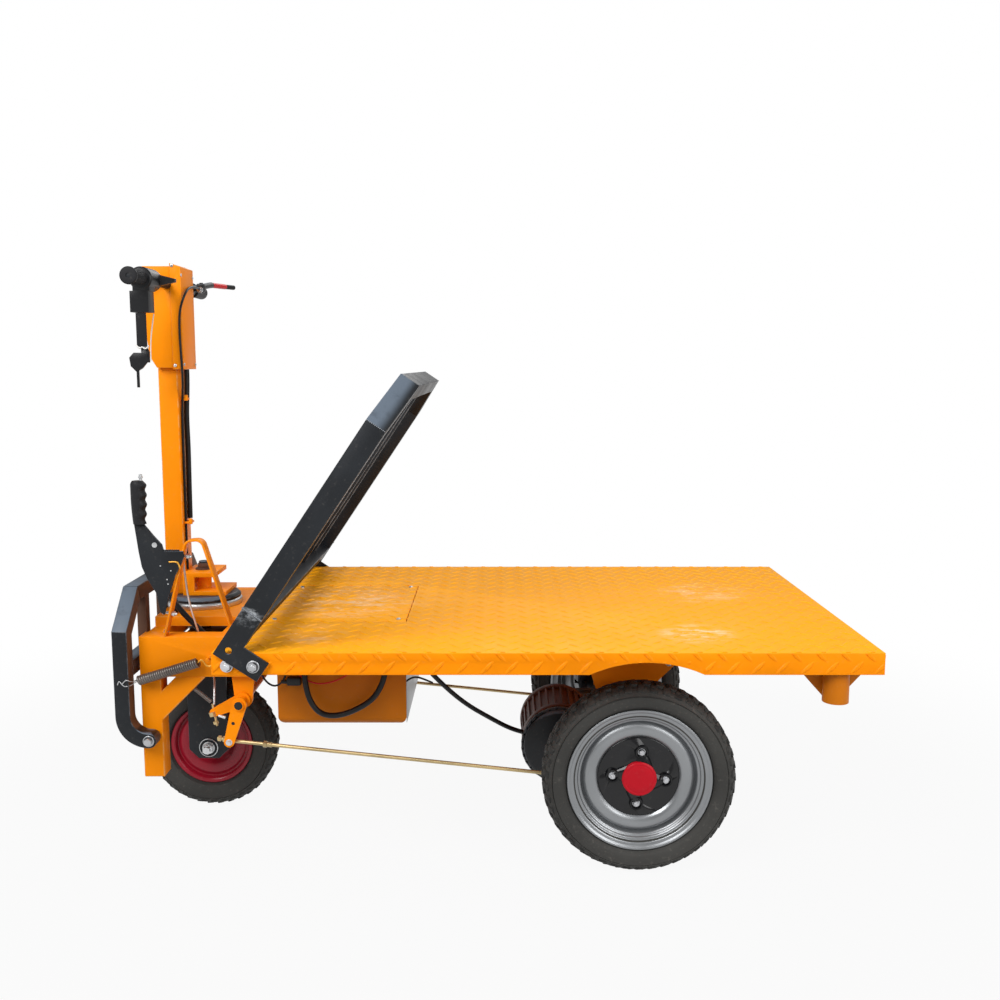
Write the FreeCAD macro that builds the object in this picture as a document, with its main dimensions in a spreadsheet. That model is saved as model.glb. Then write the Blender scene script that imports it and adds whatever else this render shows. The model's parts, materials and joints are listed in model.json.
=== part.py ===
"""Three-wheeled electric hand cart: a tread-plate bed on two driven wheels and one steered wheel.

Millimetres, Z up, floor at Z = 0. The bed runs along X, with the steering post at the -X end.
Right is -Y and left is +Y, as the rider on the pedal looks over the bed.
"""
import FreeCAD, Part
import math
import os
import re
import Sketcher

doc = FreeCAD.newDocument("hand_cart")

SIZES = {
    # bed
    "deck_rear": 907, "deck_length": 1500, "deck_width": 1000, "deck_top": 560, "deck_sheet": 4,
    "skirt_drop": 50, "arch_gap": 80, "lid_inset": 232, "lid_length": 352, "lid_width": 420, "lid_gap": 2,
    # long rails and what lies across them
    "nose_length": 235, "rail_half": 285, "rail_flange": 50, "rail_wall": 5, "nose_rail_depth": 100,
    "rail_depth": 50, "rail_rear_gap": 30, "nose_lap": 40, "cross_wide": 40, "cross_high": 16,
    "bar_inset": 593, "cross_ahead": 150, "cross_behind": 110,
    # front legs
    "leg_wide": 50, "leg_foot": 185, "brace_rise": 145, "brace_wide": 52,
    # turntable
    "steer_reach": 151, "platform_half": 160, "platform_sheet": 6, "ring_radius": 98, "ring_height": 17,
    "cap_radius": 95, "cap_height": 14, "pin_radius": 13, "turn_gap": 0.3, "pin_gap": 0.06,
    "hole_gap": 0.1, "ring_edge": 5, "cap_bevel": 8, "platform_gap": 10, "bore_gap": 8,
    # steered wheel
    "steer_tyre_radius": 175, "steer_tyre_width": 88, "steer_bead_radius": 101, "steer_rim_width": 54,
    "wheel_trail": 12, "fork_gap": 8, "fork_plate": 8, "fork_wide": 105, "fork_tail": 30,
    "crown_gap": 5, "crown_plate": 12, "axle_radius": 9, "axle_end": 26, "axle_nut": 7, "nut_thick": 14,
    "fork_corner": 25, "pin_end": 22,
    # driven wheels
    "drive_inset": 529, "drive_tyre_radius": 229, "drive_tyre_width": 95, "drive_bead_radius": 152,
    "drive_rim_width": 62, "track_half": 380, "flange_rise": 20, "flange_sheet": 3, "barrel_wall": 4,
    "drum_radius": 84, "drum_depth": 46, "hub_cover_radius": 97, "hub_cap_radius": 41,
    "stud_circle": 63, "stud_well": 15, "shoulder": 13, "steer_flange_rise": 10, "lug_high": 4, "lug_wide": 20, "lug_root": 15,
    "lug_edge": 13, "lug_groove": 3,
    "tube_radius": 28, "stub_radius": 15, "drum_gap": 3,
    # drive
    "motor_reach": 170, "motor_drop": 17, "motor_radius": 100, "motor_length": 190, "motor_cover": 30,
    "motor_start": -150, "gear_wide": 70, "gear_radius": 82, "motor_fin": 6,
    "motor_band": 24, "fin_thick": 5, "hanger_half": 119, "hanger_foot": 45, "hanger_thick": 8,
    # post and head
    "post_lean": 66, "post_deep": 50, "post_wide": 70, "post_wall": 3, "plate_step": 49,
    "bracket_plate": 12, "bracket_half": 58, "bracket_reach": 72, "plate_reach": 45, "bracket_web": 30,
    "web_thick": 8, "pin_sleeve": 6, "pin_nut": 14,
    "bar_lead": 12, "bar_drop": 54, "bar_radius": 11, "bar_half": 330, "bar_left": 262,
    "head_high": 264, "head_top": 1452, "head_ahead": 49, "head_lap": 21, "head_behind": 49,
    "head_half": 55, "head_sheet": 2, "head_slope": 10, "head_tongue": 10, "head_step": 8, "head_chin": 28,
    "head_lip": 4, "head_slant": 118, "head_taper": 11,
    # controls
    "throttle_length": 160, "throttle_start": 78, "throttle_radius": 27.5, "grip_radius": 17, "grip_lip": 3.5,
    "grip_length": 100, "switch_deep": 44, "switch_wide": 42, "switch_high": 50, "switch_low": 79,
    "saddle_deep": 40, "wedge_high": 30, "wedge_reach": 62, "wedge_drop": 4, "wedge_wide": 16,
    "perch_wide": 40, "perch_inset": 147, "perch_reach": 34, "arm_wide": 24, "arm_high": 18,
    "hand_unit": 100, "lever_thick": 6, "lever_bend": 20, "strap_loop": 12, "strap_wide": 25, "strap_thick": 3, "strap_long": 159, "strap_out": 43,
    "key_thick": 6, "key_unit": 10, "harness_radius": 7,
    # load rack
    "rack_inset": 95.5, "rack_drop": 28, "rack_angle": 56.1, "rack_bar": 50, "rack_deep": 40,
    "rack_lift": 40, "rack_foot": 25, "rack_run": 716, "rack_corner": 117, "rack_plate": 6, "side_gap": 5,
    "rack_inner_wide": 25, "rack_pitch": 165, "rack_setback": 20, "bolt_tail": 14, "bolt_radius": 8, "bolt_head": 12, "head_thick": 8,
    # standing pedal
    "pedal_inset": 28, "pedal_rise": 107, "pedal_tube": 37, "pedal_bend": 60, "pedal_over": 95,
    "pedal_corner": 92, "pedal_cross_rise": 153, "pedal_pitch": 150, "pedal_gap": 5, "pedal_bar": 25,
    "spring_out": 23, "spring_angle": 17.3, "spring_pin": 4, "spring_radius": 12.5, "spring_wire": 2,
    "spring_coil": 152, "spring_lead": 18, "spring_length": 194, "clip_rise": 140, "clip_thick": 3,
    # battery
    "box_inset": 97, "box_length": 316, "box_in": 10, "box_depth": 176, "box_sheet": 3, "box_round": 22,
    "box_headroom": 24, "seat_gap": 0.3, "lead_unit": 100, "battery_lead_radius": 7, "motor_lead_radius": 6,
    # hand brake and linkage
    "shaft_inset": 11, "shaft_drop": 62, "shaft_radius": 12, "crank_out": 29, "crank_plate": 8,
    "hanger_in": 19, "hanger_plate": 8, "eye_drop": 94, "eye_reach": 27, "arm_reach": 72, "arm_drop": 32,
    "rod_radius": 4.5, "rod_bend": 60, "stand_in": 15, "stand_wide": 30, "stand_plate": 5, "stand_bend": 18,
    "lever_plate": 5, "lever_unit": 100, "lever_rise": 192, "lever_lead": 16, "lever_grip": 19,
    "lever_button": 5, "hand_cable_radius": 2.5, "brake_cable_radius": 3,
    # stake sockets
    "socket_inset": 93, "socket_in": 45, "socket_plate": 170, "socket_foot": 35, "socket_drop": 75,
    "socket_radius": 29.5, "socket_wall": 3, "socket_web": 6,
}

PLACES = {
    "deck_front": "deck_rear - deck_length",
    "deck_under": "deck_top - deck_sheet",
    "lid_centre": "deck_front + lid_inset",
    "rail_front": "deck_front - nose_length",
    "rail_top": "deck_under - cross_high",
    "nose_under": "rail_top - nose_rail_depth",
    "rail_under": "rail_top - rail_depth",
    "nose_end": "deck_front + nose_lap",
    "rail_rear": "deck_rear - rail_rear_gap",
    "brace_low": "leg_foot + brace_rise",
    "steer_place": "deck_front - steer_reach",
    "ring_top": "deck_top + ring_height",
    "cap_top": "ring_top + turn_gap + cap_height",
    "plate_high": "cap_top + plate_step",
    "crown_top": "rail_top - rail_wall - cross_wide - crown_gap",
    "wheel_place": "steer_place + wheel_trail",
    "fork_foot": "steer_tyre_radius - fork_tail",
    "drive_place": "deck_rear - drive_inset",
    "drum_inner": "track_half - drum_depth + 2 - drum_gap",
    "motor_place": "drive_place - motor_reach",
    "motor_height": "drive_tyre_radius - motor_drop",
    "post_place": "steer_place - post_lean",
    "head_foot": "head_top - head_high",
    "head_front": "post_place - head_ahead",
    "head_split": "post_place + head_lap",
    "head_back": "post_place + head_behind",
    "bar_place": "post_place + bar_lead",
    "bar_height": "head_top - bar_drop",
    "rack_pivot": "deck_front + rack_inset",
    "rack_height": "deck_top - rack_drop",
    "rack_outer": "deck_width / 2 + side_gap + rack_plate",
    "stop_reach": "rack_foot + bolt_radius + 4 * seat_gap",
    "stop_side": "rack_lift + 10",
    "stop_place": "rack_pivot - stop_reach * cos(rack_angle) - stop_side * sin(rack_angle)",
    "stop_height": "rack_height - stop_reach * sin(rack_angle) + stop_side * cos(rack_angle)",
    "pedal_pivot": "rail_front + pedal_inset",
    "pedal_height": "leg_foot + pedal_rise",
    "pedal_top": "deck_top + pedal_over",
    "pedal_cross": "pedal_height + pedal_cross_rise",
    "pedal_outer": "rail_half + pedal_gap + pedal_tube",
    "clip_front": "pedal_pivot - pedal_bend + pedal_tube / 2 + seat_gap",
    "clip_height": "pedal_height + clip_rise",
    "spring_side": "rail_half + spring_out",
    "spring_start": "clip_front + spring_lead * cos(spring_angle)",
    "spring_low": "clip_height + spring_lead * sin(spring_angle)",
    "spring_end": "clip_front + spring_length * cos(spring_angle)",
    "spring_top": "clip_height + spring_length * sin(spring_angle)",
    "box_front": "deck_front + box_inset",
    "box_rear": "box_front + box_length",
    "box_half": "rail_half - box_in",
    "box_foot": "rail_under - box_depth",
    "shaft_place": "deck_front + shaft_inset",
    "shaft_height": "nose_under - shaft_drop",
    "crank_side": "rail_half + crank_out",
    "hanger_side": "rail_half - hanger_in",
    "lever_place": "steer_place - lever_lead",
    "lever_height": "deck_top + lever_rise",
    "stand_side": "rail_half - stand_in + stand_wide / 2",
    "lever_side": "stand_side + lever_plate + seat_gap",
    "socket_place": "deck_rear - socket_inset",
    "socket_side": "deck_width / 2 - socket_in",
    "skirt_foot": "deck_top - skirt_drop",
    "socket_low": "skirt_foot - socket_drop",
}

sheet = doc.addObject("Spreadsheet::Sheet", "Sizes")
for row, (word, number) in enumerate(SIZES.items(), start=1):
    sheet.set(f"A{row}", word)
    sheet.set(f"B{row}", str(number))
    sheet.setAlias(f"B{row}", word)
doc.recompute()

NODES = {}
STUD_ANGLES = (-5, 85, 175, 265)
FIN_COUNT = 30
TINY = 0.01
PLANE_ROLES = {"XY": "XY_Plane", "XZ": "XZ_Plane", "YZ": "YZ_Plane"}
DIRECTIONS = {
    "x": FreeCAD.Rotation(FreeCAD.Vector(0, 1, 0), 90),
    "y": FreeCAD.Rotation(FreeCAD.Vector(1, 0, 0), -90),
    "z": FreeCAD.Rotation(),
}


# ---- helpers -------------------------------------------------------------------------------------

def spelled(word):
    """A size's cell, a place's own expression, or a word that is neither."""
    if word in PLACES:
        return "(" + in_sheet(PLACES[word]) + ")"
    return "Sizes." + word if word in SIZES else word


def in_sheet(text):
    """Write an expression of sizes and places as one of the sheet's cells."""
    return re.sub(r"[a-z]\w*", lambda found: spelled(found[0]), str(text))


def value(text):
    """The number that an expression of sizes stands for."""
    return float(sheet.evalExpression(in_sheet(text)))


def bind(thing, **properties):
    """Tie properties of an object to expressions of sizes."""
    for name, text in properties.items():
        thing.setExpression(name, in_sheet(text))


def place(thing, spot):
    """Tie an object's position to three expressions."""
    for word, text in zip("xyz", spot):
        thing.setExpression("Placement.Base." + word, in_sheet(text))
    return thing


def turn(thing, axis, angle):
    """Turn an object about an axis through its own origin by an expression in degrees."""
    thing.Placement.Rotation = FreeCAD.Rotation(FreeCAD.Vector(*axis), 1)
    thing.setExpression("Placement.Rotation.Angle", in_sheet(angle))
    return thing


def box(spot, length, width, height):
    """A block with its low corner at spot."""
    block = doc.addObject("Part::Box", "Block")
    bind(block, Length=length, Width=width, Height=height)
    return place(block, spot)


def cylinder(spot, radius, height, direction="z"):
    """A cylinder from spot along +X, +Y or +Z."""
    rod = doc.addObject("Part::Cylinder", "Round")
    rod.Placement.Rotation = DIRECTIONS[direction]
    bind(rod, Radius=radius, Height=height)
    return place(rod, spot)


def cone(spot, radius, end_radius, height, direction="z"):
    """A cone from spot along +X, +Y or +Z."""
    taper = doc.addObject("Part::Cone", "Taper")
    taper.Placement.Rotation = DIRECTIONS[direction]
    bind(taper, Radius1=radius, Radius2=end_radius, Height=height)
    return place(taper, spot)


def fuse(*pieces):
    """Join pieces that touch into one solid."""
    joined = doc.addObject("Part::MultiFuse", "Joined")
    joined.Shapes = list(pieces)
    joined.Refine = True
    return joined


def group(*pieces):
    """Keep like pieces that stay apart in one node."""
    together = doc.addObject("Part::Compound", "Group")
    together.Links = list(pieces)
    return together


def cut(base, *tools):
    """Take tools away from a base."""
    left = base
    for tool in tools:
        trimmed = doc.addObject("Part::Cut", "Trimmed")
        trimmed.Base = left
        trimmed.Tool = tool
        left = trimmed
    return left


def mirror(source):
    """The same piece on the other side of the cart's middle."""
    other = doc.addObject("Part::Mirroring", "Other")
    other.Source = source
    other.Normal = FreeCAD.Vector(0, 1, 0)
    return other


def outline(body, plane, points, holes=()):
    """A closed sketch through the points, with round holes, tied to expressions of sizes."""
    sketch = body.newObject("Sketcher::SketchObject", "Outline")
    support = next(plane_object for plane_object in body.Origin.OriginFeatures
                   if plane_object.Role == PLANE_ROLES[plane])
    sketch.AttachmentSupport = [(support, "")]
    sketch.MapMode = "FlatFace"
    spots = [FreeCAD.Vector(value(across), value(up), 0) for across, up in points]
    count = len(spots)
    for number in range(count):
        sketch.addGeometry(Part.LineSegment(spots[number], spots[(number + 1) % count]), False)
    for number in range(count):
        sketch.addConstraint(Sketcher.Constraint("Coincident", number, 2, (number + 1) % count, 1))
    for number, (across, up) in enumerate(points):
        for kind, text in (("DistanceX", across), ("DistanceY", up)):
            index = sketch.addConstraint(Sketcher.Constraint(kind, -1, 1, number, 1, value(text)))
            sketch.setExpression(f"Constraints[{index}]", in_sheet(text))
    for across, up, radius in holes:
        middle = FreeCAD.Vector(value(across), value(up), 0)
        ring = sketch.addGeometry(Part.Circle(middle, FreeCAD.Vector(0, 0, 1), value(radius)), False)
        for kind, text in (("DistanceX", across), ("DistanceY", up)):
            index = sketch.addConstraint(Sketcher.Constraint(kind, -1, 1, ring, 3, value(text)))
            sketch.setExpression(f"Constraints[{index}]", in_sheet(text))
        index = sketch.addConstraint(Sketcher.Constraint("Radius", ring, value(radius)))
        sketch.setExpression(f"Constraints[{index}]", in_sheet(radius))
    return sketch


def plate(plane, points, thickness, spot=(0, 0, 0), holes=(), lift=None):
    """A flat plate cut to an outline; it grows from its plane, or lift above it, towards +X, +Y or +Z."""
    body = doc.addObject("PartDesign::Body", "Plate")
    sketch = outline(body, plane, points, holes)
    if lift:
        side = "-1 * " if plane == "XZ" else ""
        sketch.setExpression("AttachmentOffset.Base.z", in_sheet(f"{side}({lift})"))
    pad = body.newObject("PartDesign::Pad", "Pad")
    pad.Profile = sketch
    pad.Reversed = plane == "XZ"
    bind(pad, Length=thickness)
    body.Tip = pad
    return place(body, spot)


def turned(points, spot, axis="y"):
    """A solid of revolution about Y or Z, from (along, radius) points of half its section."""
    body = doc.addObject("PartDesign::Body", "Turned")
    spin = body.newObject("PartDesign::Revolution", "Spin")
    if axis == "y":
        spin.Profile = outline(body, "YZ", points)
        spin.ReferenceAxis = (spin.Profile[0], ["H_Axis"])
    else:
        spin.Profile = outline(body, "XZ", [(radius, along) for along, radius in points])
        spin.ReferenceAxis = (spin.Profile[0], ["V_Axis"])
    spin.Angle = 360
    body.Tip = spin
    return place(body, spot)


def soften(body, radius, wanted):
    """Round the edges of a body that the test picks out."""
    doc.recompute()
    base = body.Tip
    names = [f"Edge{number}" for number, edge in enumerate(base.Shape.Edges, start=1) if wanted(edge)]
    rounded = body.newObject("PartDesign::Fillet", "Rounded")
    rounded.Base = (base, names)
    bind(rounded, Radius=radius)
    body.Tip = rounded
    return body


def route(points, share=0.45, radius=None):
    """A path of straight runs joined by tangent arcs, and the arcs' radii."""
    spots = [FreeCAD.Vector(*[value(text) for text in point]) for point in points]
    edges = []
    radii = []
    start = spots[0]
    for before, corner, after in zip(spots, spots[1:], spots[2:]):
        arrive = (corner - before).normalize()
        leave = (after - corner).normalize()
        half = arrive.getAngle(leave) / 2
        run = min((corner - before).Length, (after - corner).Length)
        bend = radius if radius else share * run / math.tan(half)
        back = bend * math.tan(half)
        first = corner - arrive * back
        last = corner + leave * back
        to_middle = (leave - arrive).normalize()
        middle = corner + to_middle * (bend / math.cos(half) - bend)
        edges.append(Part.LineSegment(start, first).toShape())
        edges.append(Part.Arc(first, middle, last).toShape())
        radii.append(bend)
        start = last
    edges.append(Part.LineSegment(start, spots[-1]).toShape())
    return Part.Wire(edges), radii


def swept(path, section):
    """A solid swept along a path of runs and arcs."""
    solid = path.makePipeShell([section], True, False, 2)
    thing = doc.addObject("Part::Feature", "Swept")
    thing.Shape = solid
    return thing


def round_section(path, radius):
    """A circle across the start of a path."""
    start = path.Edges[0]
    return Part.Wire(Part.Circle(start.valueAt(start.FirstParameter),
                                 start.tangentAt(start.FirstParameter), radius).toShape())


def cord(name, points, radius):
    """A round tube along a route; prints its arcs' radii and checks its volume."""
    path, radii = route(points)
    tube = swept(path, round_section(path, value(radius)))
    expected = math.pi * value(radius) ** 2 * path.Length
    print(name, "length", round(path.Length, 1), "radii", [round(bend, 1) for bend in radii],
          "volume ratio", round(tube.Shape.Volume / expected, 4))
    return tube


def bent_rod(points, radius, bend):
    """A round bar bent at its corners to one inside radius."""
    path, _ = route(points, radius=value(bend))
    return swept(path, round_section(path, value(radius)))


def bent_flat(points, thickness, width, bend):
    """A flat bar bent in the XZ plane, with its width along +Y from the points' side."""
    path, _ = route(points, radius=value(bend))
    start = path.Edges[0]
    spot = start.valueAt(start.FirstParameter)
    along = start.tangentAt(start.FirstParameter)
    across = along.cross(FreeCAD.Vector(0, 1, 0)).normalize() * (value(thickness) / 2)
    side = FreeCAD.Vector(0, value(width), 0)
    corners = [spot - across, spot + across, spot + across + side, spot - across + side, spot - across]
    return swept(path, Part.makePolygon(corners))


def drawn(points, unit, start):
    """Points of an outline, in units of one size from a start, as expressions."""
    return [(f"{start[0]} + {across} * {unit}", f"{start[1]} + {up} * {unit}") for across, up in points]


def strung(points, unit, start):
    """Points of a route, in units of one size from a start, as expressions."""
    return [tuple(f"{origin} + {step} * {unit}" for origin, step in zip(start, point)) for point in points]


def node(name, thing):
    """Name a finished sub-part."""
    thing.Label = name
    NODES[name] = thing
    return thing


def pair(name, thing):
    """Name a sub-part on the right side and mirror it to the left, as two nodes."""
    node(name + "_right", thing)
    node(name + "_left", mirror(thing))


def both_sides(*things):
    """Right-hand pieces with their left-hand mirrors, apart from each other."""
    return group(*things, *[mirror(thing) for thing in things])


# ---- bed -----------------------------------------------------------------------------------------

def build_deck():
    """Tread-plate bed with folded skirts, an arch over each driven wheel and an opening for the lid."""
    half = "deck_width / 2"
    sheet_top = box(("deck_front", f"-{half}", "deck_under"), "deck_length", "deck_width", "deck_sheet")
    skirts = [
        box(("deck_front", f"-{half}", "skirt_foot"), "deck_length", "deck_sheet", "skirt_drop"),
        box(("deck_front", f"{half} - deck_sheet", "skirt_foot"), "deck_length", "deck_sheet", "skirt_drop"),
        box(("deck_rear - deck_sheet", f"-{half}", "skirt_foot"), "deck_sheet", "deck_width", "skirt_drop"),
    ]
    opening = box(("lid_centre - lid_length / 2 - lid_gap", "-lid_width / 2 - lid_gap", "deck_under - deck_sheet"),
                  "lid_length + 2 * lid_gap", "lid_width + 2 * lid_gap", "3 * deck_sheet")
    arch = cylinder(("drive_place", f"-{half} - deck_sheet", "drive_tyre_radius"), "drive_tyre_radius + arch_gap",
                    "deck_width + 2 * deck_sheet", "y")
    keep = box(("deck_front", f"-{half} + deck_sheet", "skirt_foot - deck_sheet"), "deck_length - deck_sheet",
               "deck_width - 2 * deck_sheet", "skirt_drop + 2 * deck_sheet")
    holes = [cylinder((across, f"-{half} - deck_sheet", up), "bolt_radius + hole_gap",
                      "deck_width + 2 * deck_sheet", "y")
             for across, up in (("rack_pivot", "rack_height"), ("stop_place", "stop_height"))]
    node("deck_plate", cut(fuse(sheet_top, *skirts), opening, cut(arch, keep), *holes))
    node("battery_lid", box(("lid_centre - lid_length / 2", "-lid_width / 2", "deck_under"), "lid_length",
                            "lid_width", "deck_sheet"))


def build_rails():
    """Channel rails, open inwards, deep at the nose and shallow under the bed, with a pin for each spring."""
    step = "nose_end + nose_rail_depth - rail_depth"
    web = plate("XZ", [("rail_front", "nose_under"), ("nose_end", "nose_under"), (step, "rail_under"),
                       ("rail_rear", "rail_under"), ("rail_rear", "rail_top"), ("rail_front", "rail_top")],
                "rail_wall", (0, "-rail_half", 0))
    upper = box(("rail_front", "-rail_half", "rail_top - rail_wall"), "rail_rear - rail_front", "rail_flange",
                "rail_wall")
    under = box((step, "-rail_half", "rail_under"), f"rail_rear - ({step})", "rail_flange", "rail_wall")
    nose_flange = box(("rail_front", "-rail_half", "nose_under"), "nose_end - rail_front", "rail_flange",
                      "rail_wall")
    pin = cylinder(("spring_end", "-spring_side - spring_pin", "spring_top"), "spring_pin",
                   "spring_side + spring_pin - rail_half + rail_wall / 2", "y")
    node("rails", both_sides(fuse(web, upper, under, nose_flange, pin)))


def build_cross_members():
    """Flat bars across the rails under the bed."""
    places = ("lid_centre - lid_length / 2 - cross_wide", "lid_centre + lid_length / 2", "deck_front + bar_inset",
              "drive_place - cross_ahead", "drive_place + cross_behind", "deck_rear - 2 * deck_sheet - cross_wide")
    bars = [box((start, "-deck_width / 2 + deck_sheet", "rail_top"), "cross_wide",
                "deck_width - 2 * deck_sheet", "cross_high") for start in places]
    node("bed_cross_bars", group(*bars))


def build_legs():
    """Square front legs under the nose of the rails, each with a diagonal brace."""
    leg_back = "rail_front + leg_wide"
    leg = box(("rail_front", "-rail_half", "leg_foot"), "leg_wide", "leg_wide", "nose_under - leg_foot")
    slope = "nose_under - brace_low"
    brace = plate("XZ", [(leg_back, "brace_low"), (f"{leg_back} + {slope}", "nose_under"),
                         (f"{leg_back} + {slope} - brace_wide * sqrt(2)", "nose_under"),
                         (leg_back, "brace_low + brace_wide * sqrt(2)")],
                  "leg_wide", (0, "-rail_half", 0))
    node("front_legs", both_sides(fuse(leg, brace)))


# ---- turntable and steering ----------------------------------------------------------------------

def build_turntable():
    """Folded platform on two bars between the rails, with the fixed bearing ring on it."""
    inner = "(rail_half - rail_wall)"
    bar_low = "rail_top - rail_wall - cross_wide"
    bars = [box((start, f"-{inner}", bar_low), "cross_wide", f"2 * {inner}", "cross_wide")
            for start in ("rail_front", "deck_front - cross_wide - platform_gap")]
    length = "nose_length - platform_gap"
    top = box(("rail_front", "-platform_half", "deck_top - platform_sheet"), length, "2 * platform_half",
              "platform_sheet")
    lips = [box(("rail_front", side, "rail_top - rail_wall"), length, "platform_sheet",
                "deck_top - rail_top + rail_wall")
            for side in ("-platform_half", "platform_half - platform_sheet")]
    bore = cylinder(("steer_place", 0, "rail_top"), "pin_radius + bore_gap", "cross_wide")
    node("turntable_platform", cut(fuse(top, *lips, *bars), bore))
    ring = turned([(0, "pin_radius + pin_gap"), ("ring_height", "pin_radius + pin_gap"),
                   ("ring_height", "ring_radius - ring_edge"), ("ring_height - ring_edge", "ring_radius"),
                   (0, "ring_radius")], ("steer_place", 0, "deck_top"), "z")
    node("bearing_ring", ring)


def build_fork():
    """Black fork: crown, two plates beside the wheel and the king pin through the turntable."""
    inner = "(steer_tyre_width / 2 + fork_gap)"
    front = "wheel_place - fork_wide / 2"
    back = "wheel_place + fork_wide / 2"
    under = "crown_top - crown_plate"
    crown = box((front, f"-{inner} - fork_plate", under), "fork_wide", f"2 * ({inner} + fork_plate)", "crown_plate")
    foot = [(front, under), (front, "fork_foot + fork_corner"), (front + " + fork_corner", "fork_foot"),
            (back + " - fork_corner", "fork_foot"), (back, "fork_foot + fork_corner"), (back, under)]
    holes = [("wheel_place", "steer_tyre_radius", "axle_radius + pin_gap")]
    cheek_right = plate("XZ", foot, "fork_plate", (0, f"-{inner} - fork_plate", 0), holes)
    cheek_left = plate("XZ", foot, "fork_plate", (0, inner, 0), holes)
    pin = cylinder(("steer_place", 0, under), "pin_radius", f"plate_high + bracket_plate + pin_end - ({under})")
    node("fork", fuse(crown, cheek_right, cheek_left, pin))
    reach = f"({inner} + fork_plate + axle_end)"
    axle = cylinder(("wheel_place", f"-{reach}", "steer_tyre_radius"), "axle_radius", f"2 * {reach}", "y")
    nuts = [cylinder(("wheel_place", side, "steer_tyre_radius"), "axle_radius + axle_nut", "nut_thick", "y")
            for side in (f"-{inner} - fork_plate - nut_thick", f"{inner} + fork_plate")]
    node("steer_axle", fuse(axle, *nuts))


def build_bracket():
    """Turntable cap, and the two bracket plates that carry the post."""
    bore = "pin_radius + turn_gap"
    cap = turned([(0, bore), ("cap_height", bore), ("cap_height", "cap_radius - cap_bevel"),
                  ("cap_height - cap_bevel", "cap_radius"), (0, "cap_radius")],
                 ("steer_place", 0, "ring_top + turn_gap"), "z")
    node("turntable_cap", cap)
    start = "(post_place + post_deep / 2)"
    low = box((start, "-bracket_half", "cap_top"), f"steer_place + bracket_reach - {start}", "2 * bracket_half",
              "bracket_plate")
    high = box((start, "-bracket_half", "plate_high"), f"steer_place + plate_reach - {start}", "2 * bracket_half",
               "bracket_plate")
    gap = "plate_high - cap_top - bracket_plate"
    webs = [box((start, side, "cap_top + bracket_plate"), "bracket_web", "web_thick", gap)
            for side in ("-bracket_half", "bracket_half - web_thick")]
    spacer = cylinder(("steer_place", 0, "cap_top + bracket_plate"), "pin_radius + pin_sleeve", gap)
    hole = cylinder(("steer_place", 0, "cap_top"), "pin_radius + hole_gap", "plate_step + 2 * bracket_plate")
    node("steering_bracket", cut(fuse(low, high, spacer, *webs), hole))
    nut = cylinder(("steer_place", 0, "plate_high + bracket_plate"), "pin_radius + pin_sleeve", "pin_nut")
    thread = cylinder(("steer_place", 0, "plate_high"), "pin_radius + pin_gap", "pin_nut + 2 * bracket_plate")
    node("king_nut", cut(nut, thread))


def build_post():
    """Rectangular post, with the handlebar lying on its top end."""
    length = "bar_height - bar_radius - cap_top"
    outer = box(("post_place - post_deep / 2", "-post_wide / 2", "cap_top"), "post_deep", "post_wide", length)
    hollow = box(("post_place - post_deep / 2 + post_wall", "-post_wide / 2 + post_wall", "cap_top - post_wall"),
                 "post_deep - 2 * post_wall", "post_wide - 2 * post_wall", length + " + 2 * post_wall")
    node("steering_post", cut(outer, hollow))
    node("handlebar", cylinder(("bar_place", "-bar_half", "bar_height"), "bar_radius", "bar_half + bar_left", "y"))


def shell(points, inset, half, sheet):
    """A closed folded-sheet box from a side outline and the outline inside its sheet."""
    outer = plate("XZ", points, f"2 * ({half})", (0, f"-({half})", 0))
    inner = plate("XZ", inset, f"2 * ({half} - {sheet})", (0, f"-({half}) + {sheet}", 0))
    return cut(outer, inner)


def build_head():
    """Console towards the rider and the cover that closes it towards the bed."""
    lap = "(head_split + head_tongue)"
    top = "(head_top - head_step)"
    console = shell(
        [("head_front", "head_foot + head_slant"), ("head_front + head_taper", "head_foot + head_chin"),
         ("head_front + head_chin", "head_foot"), (lap, "head_foot"), (lap, top), ("head_front", top)],
        [("head_front + head_sheet", "head_foot + head_slant"),
         ("head_front + head_taper + head_sheet", "head_foot + head_chin + head_sheet / 2"),
         ("head_front + head_chin + head_sheet / 2", "head_foot + head_sheet"),
         (f"{lap} + head_sheet", "head_foot + head_sheet"), (f"{lap} + head_sheet", f"{top} - head_sheet"),
         ("head_front + head_sheet", f"{top} - head_sheet")],
        "head_half - head_sheet - turn_gap", "head_sheet")
    post = box(("post_place - post_deep / 2 - turn_gap", "-post_wide / 2 - turn_gap", "head_foot - head_step"),
               "post_deep + 2 * turn_gap", "post_wide + 2 * turn_gap", "head_chin + head_step")
    bar = cylinder(("bar_place", "-head_half - head_step", "bar_height"), "bar_radius + turn_gap",
                   "2 * (head_half + head_step)", "y")
    node("head_console", cut(console, post, bar))
    cover = shell(
        [("head_split", "head_foot - head_lip"), ("head_back", "head_foot - head_lip"),
         ("head_back", "head_top - head_slope"), ("head_split", "head_top")],
        [("head_split - head_sheet", "head_foot - head_lip - head_sheet"),
         ("head_back - head_sheet", "head_foot - head_lip - head_sheet"),
         ("head_back - head_sheet", "head_top - head_slope - head_sheet"),
         ("head_split - head_sheet", "head_top - head_sheet")],
        "head_half", "head_sheet")
    node("head_cover", cut(cover, bar))


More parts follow.
